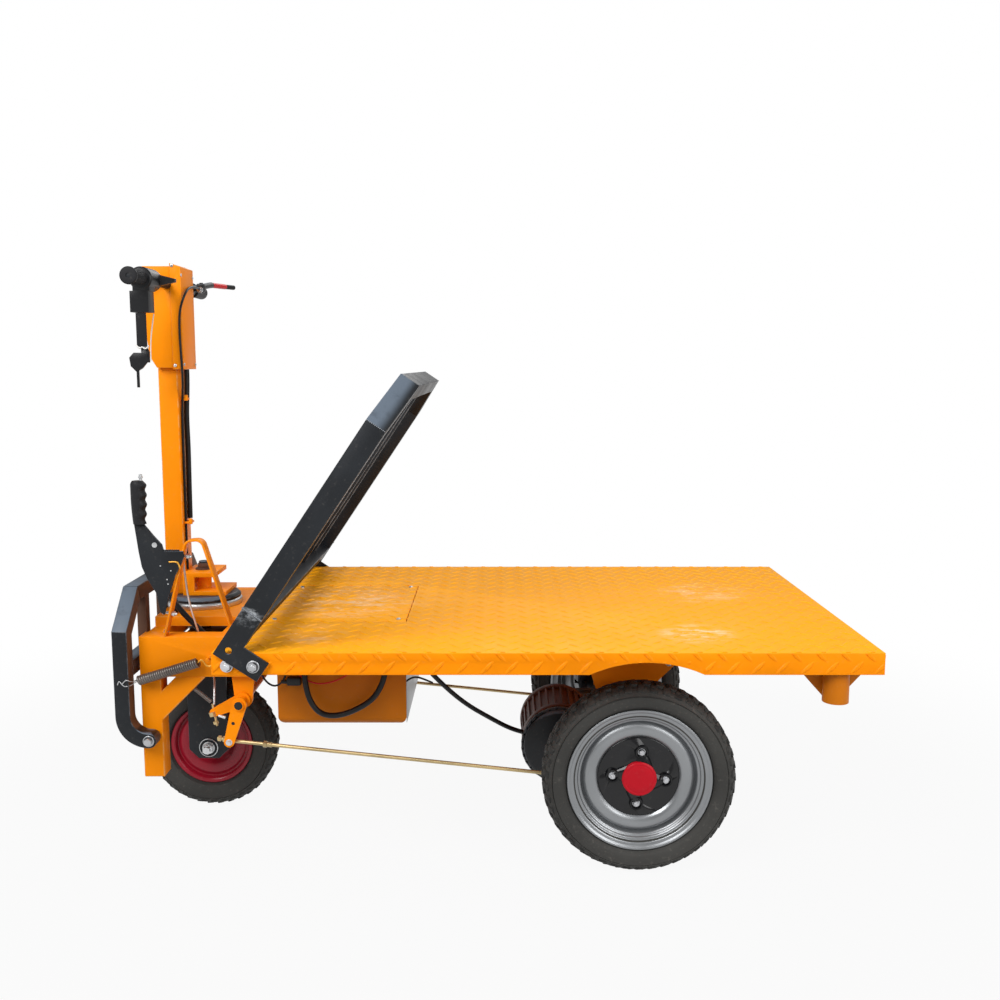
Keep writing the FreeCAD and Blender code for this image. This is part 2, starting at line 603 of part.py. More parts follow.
def build_controls():
    """Throttle grip and switch on the right, plain grip and brake lever on the left."""
    bore = "bar_radius + hole_gap"
    body = "throttle_radius - grip_lip"
    throttle = turned([(0, bore), ("throttle_length", bore), ("throttle_length", body),
                       ("throttle_length - grip_lip", "throttle_radius"),
                       ("throttle_start + grip_lip", "throttle_radius"), ("throttle_start", body),
                       ("throttle_start", "grip_radius"), ("2 * grip_lip", "grip_radius"),
                       ("grip_lip", "grip_radius + grip_lip"), (0, "grip_radius + grip_lip")],
                      ("bar_place", "-bar_half", "bar_height"))
    side = "-bar_half + throttle_start + grip_lip"
    switch = box(("bar_place - throttle_radius", side, "bar_height - switch_low"), "switch_deep", "switch_wide",
                 "switch_high")
    saddle = cut(box(("bar_place - saddle_deep / 2", side, "bar_height - switch_low + switch_high"), "saddle_deep",
                     "switch_wide", "switch_low - switch_high"),
                 cylinder(("bar_place", "-bar_half", "bar_height"), bore, "throttle_length", "y"))
    wedge = plate("XZ", [("bar_place + grip_radius", "bar_height - wedge_high / 2"),
                         ("bar_place + wedge_reach", "bar_height - wedge_drop"),
                         ("bar_place + wedge_reach", "bar_height + wedge_drop"),
                         ("bar_place + grip_radius", "bar_height + wedge_high / 2")],
                  "wedge_wide", (0, "-bar_half + throttle_length - grip_lip - wedge_wide", 0))
    node("throttle_grip", fuse(throttle, switch, saddle, wedge))
    grip = turned([(0, bore), ("grip_length", bore), ("grip_length", "grip_radius + 1"),
                   ("2 * grip_lip", "grip_radius"), ("grip_lip", "grip_radius + grip_lip"),
                   (0, "grip_radius + grip_lip")], ("bar_place", "bar_left - grip_length", "bar_height"))
    node("left_grip", grip)
    perch = turned([(0, bore), ("perch_wide", bore), ("perch_wide", "grip_radius"), (0, "grip_radius")],
                   ("bar_place", "bar_left - perch_inset", "bar_height"))
    arm = box(("bar_place + grip_radius - grip_lip", "bar_left - perch_inset + grip_lip * 2", "bar_height - arm_high / 2"),
              "perch_reach", "arm_wide", "arm_high")
    unit = "hand_unit"
    lever = strung([(0.36, -1.35, 0.06), (0.445, -0.72, 0.17), (0.89, 0.38, 0.17)], unit,
                   ("bar_place", "bar_left", "bar_height"))
    node("brake_lever", fuse(perch, arm, bent_rod(lever, "lever_thick", "lever_bend")))


# ---- wheels --------------------------------------------------------------------------------------

def ring_of(sides, spot, along, radius):
    """A regular polygon round the wheel's axle, its flats at the radius."""
    polygon = doc.addObject("Part::RegularPolygon", "Ring")
    polygon.Polygon = sides
    polygon.Placement.Rotation = FreeCAD.Rotation(FreeCAD.Vector(1, 0, 0), -90)
    bind(polygon, Circumradius=f"({radius}) / cos({180 / sides})")
    return place(polygon, (spot[0], f"{spot[1]} + {along}", spot[2]))


def stand_off(spot, angle, along, low, wide, length, depth):
    """A block standing off an axis along Y at an angle about it, from a low radius outwards."""
    block = doc.addObject("Part::Box", "Lug")
    bind(block, Length=depth, Width=length, Height=wide)
    turn(block, (0, -1, 0), angle)
    return place(block, (f"{spot[0]} + ({low}) * cos({angle}) + {wide} / 2 * sin({angle})",
                         f"{spot[1]} + {along}",
                         f"{spot[2]} + ({low}) * sin({angle}) - {wide} / 2 * cos({angle})"))


def tyre(spot, radius, width, bead, edge, rim, sides):
    """A tyre with two rows of blocks at full radius between rounded shoulders."""
    half = f"{width} / 2"
    profile = [(f"{rim} / 2", f"{edge} + 1"), (f"{half} - 2", f"{edge} + 8"),
               (half, f"({edge} + {radius}) / 2 - 2"), (f"{half} - 3", f"{radius} - 18"),
               (f"{half} - shoulder", f"{radius} - lug_high")]
    rings = [ring_of(sides, spot, f"-({along})", edge) for along, edge in profile]
    rings += [ring_of(sides, spot, along, edge) for along, edge in reversed(profile)]
    carcass = doc.addObject("Part::Loft", "Carcass")
    carcass.Sections = rings
    carcass.Solid = True
    carcass.Ruled = True
    hole = cylinder((spot[0], f"{spot[1]} - {width}", spot[2]), bead, f"2 * {width}", "y")
    step = 360 / sides
    lugs = []
    for number in range(sides):
        for turn_on, along in ((0, f"lug_edge - {half}"), (0.5, "lug_groove")):
            lugs.append(stand_off(spot, 90 + (number + turn_on) * step, along, f"{radius} - lug_root",
                                  "lug_wide", f"{half} - lug_edge - lug_groove", "lug_root"))
    return fuse(cut(carcass, hole), *lugs)


def build_driven_wheels():
    """Driven wheels on the right; the left ones mirror them. The outer face is towards -Y."""
    spot = ("drive_place", "-track_half", "drive_tyre_radius")
    pair("drive_tyre", tyre(spot, "drive_tyre_radius", "drive_tyre_width", "drive_bead_radius",
                            "drive_bead_radius + flange_rise", "drive_rim_width", 36))
    half = "drive_rim_width / 2"
    edge = "drive_bead_radius + flange_rise"
    barrel = "drive_bead_radius - barrel_wall"
    rim = turned([(f"-{half} - flange_sheet", edge), (f"-{half} - flange_sheet", "drive_bead_radius - 2"),
                  (f"-{half} + 6", barrel), (f"-{half} + 10", barrel), (f"-{half} + 5", "drive_bead_radius - 14"),
                  (f"-{half} + 5", "drive_bead_radius - 22"), ("-6", "hub_cover_radius + 6"),
                  ("-6", "52"), ("-2", "52"), ("-2", "hub_cover_radius + 8"),
                  (f"-{half} + 10", "drive_bead_radius - 20"), (f"-{half} + 15", barrel),
                  (half, barrel), (f"{half} + flange_sheet", "drive_bead_radius"),
                  (f"{half} + flange_sheet", edge), (half, edge), (half, "drive_bead_radius"),
                  (f"-{half}", "drive_bead_radius"), (f"-{half}", edge)], spot)
    cover = turned([("-30", "0"), ("-30", "hub_cap_radius - 5"), ("-27", "hub_cap_radius"),
                    ("-22", "hub_cap_radius"), ("-24", "hub_cap_radius + 3"), ("-20", "hub_cover_radius - 14"),
                    ("-8", "hub_cover_radius"), ("-6", "hub_cover_radius"), ("-6", "0")], spot)
    wells = [cylinder((f"drive_place + stud_circle * cos({angle})", "-track_half - 40",
                       f"drive_tyre_radius + stud_circle * sin({angle})"), "stud_well", "30", "y")
             for angle in STUD_ANGLES]
    pair("hub_cover", cut(cover, *wells))
    drum = turned([("-6", "50"), ("-2", "50"), ("-2", "drum_radius"), ("drum_depth - 2", "drum_radius"),
                   ("drum_depth - 2", "drum_radius - 6"), ("6", "drum_radius - 6"), ("6", "34"),
                   ("30", "34"), ("30", "stub_radius + pin_gap"), ("-6", "stub_radius + pin_gap")], spot)
    pair("drive_rim", fuse(rim, drum))


def build_steered_wheel():
    """Steered wheel in the fork, with a dished rim and a hub on the axle."""
    spot = ("wheel_place", 0, "steer_tyre_radius")
    node("steer_tyre", tyre(spot, "steer_tyre_radius", "steer_tyre_width", "steer_bead_radius",
                            "steer_bead_radius + steer_flange_rise", "steer_rim_width", 26))
    half = "steer_rim_width / 2"
    edge = "steer_bead_radius + steer_flange_rise"
    barrel = "steer_bead_radius - barrel_wall"
    rim = turned([(f"-{half} - flange_sheet", edge), (f"-{half} - flange_sheet", "steer_bead_radius - 2"),
                  (f"-{half} + 6", barrel), ("-14", barrel), ("-20", "steer_bead_radius - 18"), ("-20", "60"),
                  ("-4", "50"), ("-4", "30"), ("4", "30"), ("4", "52"), ("-14", "62"),
                  ("-14", "steer_bead_radius - 20"), ("-8", barrel), (f"{half} - 6", barrel),
                  (f"{half} + flange_sheet", "steer_bead_radius - 2"), (f"{half} + flange_sheet", edge),
                  (half, edge), (half, "steer_bead_radius"), (f"-{half}", "steer_bead_radius"), (f"-{half}", edge)],
                 spot)
    reach = "(steer_tyre_width / 2 + fork_gap - 1)"
    hub = turned([(f"-{reach}", "axle_radius + pin_gap"), (reach, "axle_radius + pin_gap"), (reach, "20"),
                  ("12", "24"), ("4", "30"), ("-4", "30"), ("-12", "24"), (f"-{reach}", "20")], spot)
    node("steer_rim", fuse(rim, hub))


# ---- driven axle ---------------------------------------------------------------------------------

def build_axle():
    """Axle tube with its stubs, and the brakes' back plates with their levers."""
    tube = cylinder(("drive_place", "-(drum_inner - 6)", "drive_tyre_radius"), "tube_radius",
                    "2 * (drum_inner - 6)", "y")
    stubs = cylinder(("drive_place", "-track_half + 7", "drive_tyre_radius"), "stub_radius",
                     "2 * (track_half - 7)", "y")
    backing = cylinder(("drive_place", "-drum_inner", "drive_tyre_radius"), "drum_radius", "6", "y")
    lever = plate("XZ", [("drive_place - 78", "drive_tyre_radius + 12"), ("drive_place - 60", "drive_tyre_radius + 12"),
                         ("drive_place - 66", "drive_tyre_radius - 48"),
                         ("drive_place - 84", "drive_tyre_radius - 48")], "6",
                  (0, "-(drum_inner - 16)", 0))
    cam = cylinder(("drive_place - 69", "-(drum_inner - 6)", "drive_tyre_radius + 2"), "7", "10", "y")
    right = fuse(backing, lever, cam)
    node("axle_beam", fuse(tube, stubs, right, mirror(right)))


def build_drive():
    """Gear case around the axle, joined to the motor ahead of it."""
    gear_start = "(motor_start + motor_cover + motor_length)"
    big = cylinder(("drive_place", gear_start, "drive_tyre_radius"), "gear_radius", "gear_wide", "y")
    small = cylinder(("motor_place", gear_start, "motor_height"), "gear_radius - 20", "gear_wide", "y")
    bridge = box(("motor_place", gear_start, "motor_height - gear_radius + 24"),
                 "drive_place - motor_place", "gear_wide", "2 * (gear_radius - 20)")
    bore = cylinder(("drive_place", f"{gear_start} - 5", "drive_tyre_radius"), "tube_radius + hole_gap",
                    "gear_wide + 10", "y")
    node("gear_case", cut(fuse(big, small, bridge), bore))
    spot = ("motor_place", "motor_start + motor_cover", "motor_height")
    body = cylinder(spot, "motor_radius - motor_fin", "motor_length", "y")
    ends = [cylinder(("motor_place", start, "motor_height"), "motor_radius", "motor_band", "y")
            for start in ("motor_start + motor_cover", f"{gear_start} - motor_band")]
    fins = [stand_off(spot, number * 360 / FIN_COUNT, "motor_band - 1", "motor_radius - 2 * motor_fin",
                      "fin_thick", "motor_length - 2 * motor_band + 2", "2 * motor_fin - 1")
            for number in range(FIN_COUNT)]
    node("motor_body", fuse(body, *ends, *fins))
    cover = turned([(0, 0), (0, "motor_radius - 14"), (5, "motor_radius - 5"), ("motor_cover", "motor_radius - 2"),
                    ("motor_cover", 0)], ("motor_place", "motor_start", "motor_height"))
    node("motor_end_cover", cover)


def build_axle_hangers():
    """Trapezoid plates from the rails down to the axle tube."""
    hanger = plate("XZ", [("drive_place - hanger_half", "rail_under"),
                          ("drive_place - hanger_foot", "drive_tyre_radius + tube_radius + 2"),
                          ("drive_place - hanger_foot", "drive_tyre_radius - tube_radius - 12"),
                          ("drive_place + hanger_foot", "drive_tyre_radius - tube_radius - 12"),
                          ("drive_place + hanger_foot", "rail_under - hanger_half + hanger_foot"),
                          ("drive_place + hanger_half", "rail_under")],
                   "hanger_thick", (0, "-rail_half", 0),
                   [("drive_place", "drive_tyre_radius", "tube_radius + hole_gap")])
    node("axle_hangers", both_sides(hanger))


# ---- battery -------------------------------------------------------------------------------------

def low_edge(edge):
    """True for an edge that lies on the floor of its own body."""
    return all(abs(vertex.Z) < TINY for vertex in edge.Vertexes)


def round_tray(name, corner, length, width, height, radius):
    """A block with its four low edges rounded."""
    body = doc.addObject("PartDesign::Body", name)
    solid = body.newObject("PartDesign::AdditiveBox", name + "Block")
    bind(solid, Length=length, Width=width, Height=height)
    body.Tip = solid
    soften(body, radius, low_edge)
    return place(body, corner)


def build_battery():
    """Steel battery box hung between the rails, with the battery as one block in it."""
    outside = round_tray("BoxOutside", ("box_front", "-box_half", "box_foot"), "box_length", "2 * box_half",
                         "box_depth", "box_round")
    inside = round_tray("BoxInside", ("box_front + box_sheet", "-box_half + box_sheet", "box_foot + box_sheet"),
                        "box_length - 2 * box_sheet", "2 * (box_half - box_sheet)", "box_depth",
                        "box_round - box_sheet")
    node("battery_box", cut(outside, inside))
    node("battery", box(("box_front + box_round", "-box_half + box_round", "box_foot + box_sheet + seat_gap"),
                        "box_length - 2 * box_round", "2 * (box_half - box_round)",
                        "box_depth - box_headroom"))


# ---- load rack -----------------------------------------------------------------------------------

def tilted(thing):
    """Set a piece drawn flat, with the pivot at its origin, to the rack's place and angle."""
    place(thing, ("rack_pivot", 0, "rack_height"))
    return turn(thing, (0, -1, 0), "rack_angle")


def build_rack():
    """Folding load rack of square tube with cut corners, on an L plate at each side."""
    run = "(rack_run - rack_corner)"
    mitre = "rack_deep * (sqrt(2) - 1)"
    inner_end = "(rack_run - rack_deep)"
    inner_start = "(rack_foot + rack_setback + rack_deep)"
    side = plate("XY", [("rack_foot", "-rack_outer"), (run, "-rack_outer"), ("rack_run", "-rack_outer + rack_corner"),
                        (inner_end, f"-rack_outer + rack_corner + {mitre}"),
                        (f"{run} - {mitre}", "-rack_outer + rack_deep"), ("rack_foot", "-rack_outer + rack_deep")],
                 "rack_bar", lift="rack_lift")
    bracket = plate("XZ", [("-rack_foot", "-rack_foot"), ("rack_foot", "-rack_foot"),
                           ("rack_foot", "rack_lift + rack_bar"), ("-rack_foot", "rack_lift + rack_bar")],
                    "rack_plate", lift="-rack_outer",
                    holes=[(0, 0, "bolt_radius + pin_gap"), (0, "rack_lift + rack_foot", "bolt_radius")])
    node("rack_sides", both_sides(fuse(tilted(side), tilted(bracket))))
    end = plate("XY", [("rack_run", "-rack_outer + rack_corner"), ("rack_run", "rack_outer - rack_corner"),
                       (inner_end, f"rack_outer - rack_corner - {mitre}"),
                       (inner_end, f"-rack_outer + rack_corner + {mitre}")], "rack_bar", lift="rack_lift")
    foot = plate("XY", [("rack_foot + rack_setback", "-rack_outer + rack_deep"),
                        ("rack_foot + rack_setback", "rack_outer - rack_deep"),
                        (inner_start, "rack_outer - rack_deep"), (inner_start, "-rack_outer + rack_deep")],
                 "rack_bar", lift="rack_lift")
    node("rack_cross_bars", group(tilted(end), tilted(foot)))
    bars = []
    for step in (-2, -1, 0, 1, 2):
        near = f"{step} * rack_pitch - rack_inner_wide / 2"
        far = f"{step} * rack_pitch + rack_inner_wide / 2"
        bars.append(tilted(plate("XY", [(inner_start, near), (inner_end, near), (inner_end, far), (inner_start, far)],
                                 "rack_inner_wide", lift="rack_lift + rack_bar / 2")))
    node("rack_inner_bars", group(*bars))


def rack_bolts():
    """Pivot bolts of the rack and the stop bolts that its brackets rest on."""
    start = "(deck_width / 2 - deck_sheet - bolt_tail)"
    stem = f"(rack_outer - {start})"
    pivot = cylinder(("rack_pivot", "-rack_outer - seat_gap", "rack_height"), "bolt_radius", f"{stem} + seat_gap", "y")
    head = cylinder(("rack_pivot", "-rack_outer - seat_gap - head_thick", "rack_height"), "bolt_head",
                    "head_thick", "y")
    washer = cylinder(("rack_pivot", "-deck_width / 2 - side_gap + seat_gap", "rack_height"), "bolt_head",
                      "side_gap - seat_gap", "y")
    stop = cylinder(("stop_place", "-rack_outer - 2", "stop_height"), "bolt_radius", f"{stem} + 2", "y")
    stop_head = cylinder(("stop_place", "-rack_outer - 2 - head_thick", "stop_height"), "bolt_head", "head_thick", "y")
    return both_sides(fuse(pivot, head, washer), fuse(stop, stop_head))


# ---- standing pedal ------------------------------------------------------------------------------

def build_pedal():
    """Folding standing pedal: bent side tubes with cut corners, a top bar, a cross bar and inner bars."""
    face = "(pedal_pivot - pedal_bend - pedal_tube / 2)"
    bend = "(pedal_height + pedal_bend)"
    run = "(pedal_top - pedal_corner)"
    mitre = "pedal_tube * (sqrt(2) - 1)"
    inner_end = "(pedal_top - pedal_tube)"
    side = plate("YZ", [("-pedal_outer", bend), ("-pedal_outer + pedal_tube", bend),
                        ("-pedal_outer + pedal_tube", f"{run} - {mitre}"),
                        (f"-pedal_outer + pedal_corner + {mitre}", inner_end),
                        ("-pedal_outer + pedal_corner", "pedal_top"), ("-pedal_outer", run)], "pedal_tube",
                 (face, 0, 0))
    outside = cylinder(("pedal_pivot", "-pedal_outer", bend), "pedal_bend + pedal_tube / 2", "pedal_tube", "y")
    inside = cylinder(("pedal_pivot", "-pedal_outer - 1", bend), "pedal_bend - pedal_tube / 2", "pedal_tube + 2", "y")
    quarter = box(("pedal_pivot - 2 * pedal_bend", "-pedal_outer", "pedal_height - pedal_bend"), "2 * pedal_bend",
                  "pedal_tube", "2 * pedal_bend")
    elbow = doc.addObject("Part::MultiCommon", "Elbow")
    elbow.Shapes = [cut(outside, inside), quarter]
    eye = cylinder(("pedal_pivot", "-pedal_outer", "pedal_height"), "pedal_tube / 2", "pedal_tube", "y")
    bore = cylinder(("pedal_pivot", "-pedal_outer - 1", "pedal_height"), "bolt_radius + pin_gap", "pedal_tube + 2", "y")
    node("pedal_sides", both_sides(cut(fuse(side, elbow, eye), bore)))
    top = plate("YZ", [("-pedal_outer + pedal_corner", "pedal_top"), ("pedal_outer - pedal_corner", "pedal_top"),
                       (f"pedal_outer - pedal_corner - {mitre}", inner_end),
                       (f"-pedal_outer + pedal_corner + {mitre}", inner_end)], "pedal_tube", (face, 0, 0))
    cross = box((face, "-pedal_outer + pedal_tube", "pedal_cross"), "pedal_tube", "2 * (pedal_outer - pedal_tube)",
                "pedal_tube")
    node("pedal_cross_bars", group(top, cross))
    bars = [box((f"{face} + (pedal_tube - pedal_bar) / 2", f"{step} * pedal_pitch - pedal_bar / 2",
                 "pedal_cross + pedal_tube"), "pedal_bar", "pedal_bar", f"{inner_end} - pedal_cross - pedal_tube")
            for step in (-1, 0, 1)]
    node("pedal_inner_bars", group(*bars))


def pedal_bolts():
    """Pivot bolts of the pedal, through the front legs."""
    bolt = fuse(cylinder(("pedal_pivot", "-pedal_outer - seat_gap", "pedal_height"), "bolt_radius",
                         "pedal_tube + pedal_gap + seat_gap", "y"),
                cylinder(("pedal_pivot", "-pedal_outer - seat_gap - head_thick", "pedal_height"), "bolt_head",
                         "head_thick", "y"),
                cylinder(("pedal_pivot", "-rail_half - pedal_gap + seat_gap", "pedal_height"), "bolt_head",
                         "pedal_gap - seat_gap", "y"))
    return both_sides(bolt)


def aimed(thing):
    """Turn an upright piece to lie along the pedal's spring."""
    return turn(thing, (0, 1, 0), "90 - spring_angle")


def build_springs():
    """Spring on each side from a clip on the pedal's tube up to the pin on the rail."""
    tube_back = "(pedal_pivot - pedal_bend + pedal_tube / 2)"
    clip = cut(box((f"{tube_back} - pedal_tube - clip_thick - seat_gap",
                    "-pedal_outer - clip_thick - seat_gap", "clip_height - clip_thick"),
                   "pedal_tube + 2 * (clip_thick + seat_gap)", "pedal_tube + 2 * (clip_thick + seat_gap)",
                   "2 * clip_thick"),
               box((f"{tube_back} - pedal_tube - seat_gap", "-pedal_outer - seat_gap", "clip_height - 2 * clip_thick"),
                   "pedal_tube + 2 * seat_gap", "pedal_tube + 2 * seat_gap", "4 * clip_thick"))
    coil = aimed(cylinder(("spring_start", "-spring_side", "spring_low"), "spring_radius", "spring_coil"))
    wire = aimed(cylinder(("clip_front + clip_thick / 2", "-spring_side", "clip_height"), "spring_wire",
                          "spring_length - spring_pin - spring_wire"))
    eye = cut(cylinder(("spring_end", "-spring_side - 1.3 * spring_wire", "spring_top"),
                       "spring_pin + 2 * spring_wire", "2.6 * spring_wire", "y"),
              cylinder(("spring_end", "-spring_side - spring_pin", "spring_top"), "spring_pin + seat_gap",
                       "2 * spring_pin", "y"))
    node("pedal_springs", both_sides(fuse(clip, coil, wire, eye)))


# ---- hand brake ----------------------------------------------------------------------------------

def build_hand_brake():
    """Bent flat-bar stand on the right rail, with the ratchet plate and its lever."""
    unit = "lever_unit"
    seat = "rail_top + 0.16 * stand_plate"
    side = "-stand_side"
    stand = bent_flat([(f"lever_place - 0.05 * {unit}", side, seat),
                       (f"lever_place + 0.54 * {unit}", side, f"lever_height + 0.23 * {unit}"),
                       (f"lever_place + 0.92 * {unit}", side, f"lever_height + 0.26 * {unit}"),
                       (f"lever_place + 1.64 * {unit}", side, seat)], "stand_plate", "stand_wide", "stand_bend")
    node("brake_stand", stand)
    face = "-lever_side"
    sector = plate("XZ", drawn([(-0.65, 0.66), (-0.41, 0.66), (-0.19, 0.38), (0, 0.16), (0.04, 0), (0.50, 0),
                                (0.52, -0.13), (0.46, -0.29), (0.30, -0.58), (0.10, -1.14), (0, -1.56),
                                (-0.10, -1.52), (-0.19, -1.02), (-0.40, -0.66), (-0.51, -0.38), (-0.57, -0.01)],
                               unit, ("lever_place", "lever_height")), "lever_plate", (0, face, 0))
    node("brake_plate", sector)
    middle = f"{face} + lever_plate / 2"
    grip = cylinder((f"lever_place - 0.51 * {unit}", middle, f"lever_height + 0.66 * {unit}"), "lever_grip",
                    f"1.04 * {unit}")
    button = cylinder((f"lever_place - 0.45 * {unit}", middle, f"lever_height + 1.7 * {unit}"), "lever_button",
                      f"0.16 * {unit}")
    node("brake_grip", fuse(grip, button))


def build_linkage():
    """Cross shaft on two hangers, a bell crank at each end and a pull rod back to each brake."""
    shaft = cylinder(("shaft_place", "-crank_side - 6", "shaft_height"), "shaft_radius", "2 * (crank_side + 6)", "y")
    lever = plate("XZ", [("shaft_place - 18", "shaft_height"), ("shaft_place - 10", "shaft_height + 17"),
                         ("shaft_place + 10", "shaft_height + 17"), ("shaft_place + 18", "shaft_height"),
                         ("shaft_place - eye_reach + 11", "shaft_height - eye_drop - 6"),
                         ("shaft_place - eye_reach", "shaft_height - eye_drop - 12"),
                         ("shaft_place - eye_reach - 11", "shaft_height - eye_drop - 6")],
                  "crank_plate", (0, "-crank_side", 0))
    arm = plate("XZ", [("shaft_place - 4", "shaft_height - 20"), ("shaft_place + 12", "shaft_height - 14"),
                       ("shaft_place + 4", "shaft_height + 20"),
                       ("shaft_place - arm_reach - 4", "shaft_height - arm_drop + 12"),
                       ("shaft_place - arm_reach - 10", "shaft_height - arm_drop"),
                       ("shaft_place - arm_reach", "shaft_height - arm_drop - 10")],
                "crank_plate", (0, "-hanger_side - crank_plate - 2", 0))
    node("brake_shaft", fuse(shaft, lever, mirror(lever), arm))
    hanger = plate("XZ", [("shaft_place - 22", "shaft_height - 22"), ("shaft_place + 22", "shaft_height - 22"),
                          ("shaft_place + 28", "nose_under"), ("shaft_place - 28", "nose_under")],
                   "hanger_plate", (0, "-hanger_side", 0),
                   [("shaft_place", "shaft_height", "shaft_radius + hole_gap")])
    node("brake_hangers", both_sides(hanger))
    near = "crank_plate - crank_side + rod_radius + seat_gap"
    far = "26.8 - drum_inner"
    rod = bent_rod([("shaft_place - eye_reach - 14", near, "shaft_height - eye_drop + 2"),
                    ("shaft_place - eye_reach + 40", near, "shaft_height - eye_drop - 4"),
                    ("drive_place - 110", far, "drive_tyre_radius - 37"),
                    ("drive_place - 66", far, "drive_tyre_radius - 40")], "rod_radius", "rod_bend")
    node("brake_rods", both_sides(rod))


# ---- stake sockets -------------------------------------------------------------------------------

def build_sockets():
    """Stake socket under each rear corner: a tapered plate with an upright tube."""
    wide = "socket_plate / 2"
    foot = "socket_foot / 2"
    web = plate("XZ", [(f"socket_place - {wide}", "skirt_foot"), (f"socket_place - {foot}", "socket_low"),
                       (f"socket_place + {foot}", "socket_low"), (f"socket_place + {wide}", "skirt_foot"),
                       (f"socket_place + {wide}", "rail_top"), (f"socket_place - {wide}", "rail_top")],
                "socket_web", (0, "-socket_side + socket_radius - 2", 0))
    height = "deck_under - socket_low"
    tube = cylinder(("socket_place", "-socket_side", "socket_low"), "socket_radius", height)
    bore = cylinder(("socket_place", "-socket_side", "socket_low - 1"), "socket_radius - socket_wall",
                    f"{height} - 8")
    node("stake_sockets", both_sides(cut(fuse(web, tube), bore)))


# ---- cables and keys -----------------------------------------------------------------------------

def build_cables():
    """Leads and harness under the bed, the brake cable and harness down the post, the hand brake's cable."""
    unit = "lead_unit"
    lead_side = "-box_half - seat_gap"
    corner = ("box_front", "-box_half", "box_foot")
    battery_lead = [(f"box_front + 0.72 * {unit}", lead_side, f"box_foot + 1.56 * {unit}")]
    battery_lead += strung([(0.72, -0.25, 1.56), (0.74, -0.31, 1.14), (0.86, -0.33, 0.68), (1.14, -0.33, 0.36),
                            (1.66, -0.33, 0.36), (2.34, -0.32, 0.70), (2.62, -0.30, 1.14), (2.70, -0.25, 1.56)],
                           unit, corner)
    battery_lead.append((f"box_front + 2.7 * {unit}", lead_side, f"box_foot + 1.56 * {unit}"))
    node("battery_lead", cord("battery_lead", battery_lead, "battery_lead_radius"))
    exit_z = f"rail_under - 0.38 * {unit}"
    motor_lead = [("box_rear + seat_gap", f"-rail_half + 0.8 * {unit}", exit_z)]
    for share, side, drop in ((0.088, 0.80, 0.38), (0.206, 0.93, 0.94), (0.361, 1.11, 1.54), (0.526, 1.45, 2.04)):
        motor_lead.append((f"box_rear + {share} * (motor_place - box_rear)", f"-rail_half + {side} * {unit}",
                           f"rail_under - {drop} * {unit}"))
    motor_lead += strung([(-1.267, 0.42, 0.314), (-0.976, 0.42, 0.242)], unit,
                         ("motor_place", "motor_start", "motor_height"))
    node("motor_lead", cord("motor_lead", motor_lead, "motor_lead_radius"))
    frame_harness = strung([(-0.42, -1.25, 0.003), (-0.42, -1.25, 0.55), (-0.30, -2.05, 0.60), (0.14, -2.05, 0.06),
                            (0.72, -2.05, -0.52), (1.30, -2.05, -1.05)], unit, ("steer_place", 0, "deck_top"))
    frame_harness += [(f"box_front - 0.7 * {unit}", f"-2.05 * {unit}", f"deck_top - 1.15 * {unit}"),
                      ("box_front - seat_gap", f"-2.05 * {unit}", f"deck_top - 1.15 * {unit}")]
    node("frame_harness", cord("frame_harness", frame_harness, "harness_radius"))
    post_face = "post_place + post_deep / 2"
    brake_cable = strung([(0.40, -1.403, -0.02), (0.41, -1.77, 0.02)], "hand_unit",
                         ("bar_place", "bar_left", "bar_height"))
    brake_cable += [("head_back + 9", "-0.1 * hand_unit", "bar_height - 2"),
                    ("head_back + 11", "-head_half - 11", "bar_height - 0.26 * hand_unit"),
                    ("head_back - 5", "-head_half - 5.5", "bar_height - 0.68 * hand_unit"),
                    ("head_back - 7", "-head_half - 3.6", "bar_height - 1.28 * hand_unit"),
                    ("head_back - 2.5", "-head_half - 3.6", "head_foot - 0.3 * hand_unit"),
                    (f"{post_face} + 6.3", "-0.2 * hand_unit", "head_foot - 0.81 * hand_unit"),
                    (f"{post_face} + 3.3", "-0.2 * hand_unit", "head_foot - 1.4 * hand_unit"),
                    (f"{post_face} + 3.3", "-0.2 * hand_unit", "plate_high + bracket_plate + 3")]
    node("brake_cable", cord("brake_cable", brake_cable, "brake_cable_radius"))
    post_harness = strung([(0.12, 0.08, -0.04), (0.12, 0.08, -0.45), (0.073, 0.06, -1.2), (0.09, 0.06, -2.1),
                           (0.08, 0.05, -3.0), (0.073, 0.05, -3.98)], "hand_unit", (post_face, 0, "head_foot - seat_gap"))
    node("post_harness", cord("post_harness", post_harness, "harness_radius"))
    arm_side = "-hanger_side - crank_plate / 2 - 2"
    hand_cable = strung([(0.39, -0.003, -0.36), (0.42, 0.03, -1.12), (0.56, 0.23, -1.96), (0.80, 0.26, -2.82),
                         (0.99, 0.21, -3.28), (1.05, -0.10, -3.58)], "lever_unit",
                        ("lever_place", "-stand_side + stand_wide + 3", "lever_height"))
    hand_cable.append(("shaft_place - arm_reach", arm_side, "shaft_height - arm_drop + 20"))
    node("hand_brake_cable", cord("hand_brake_cable", hand_cable, "hand_cable_radius"))


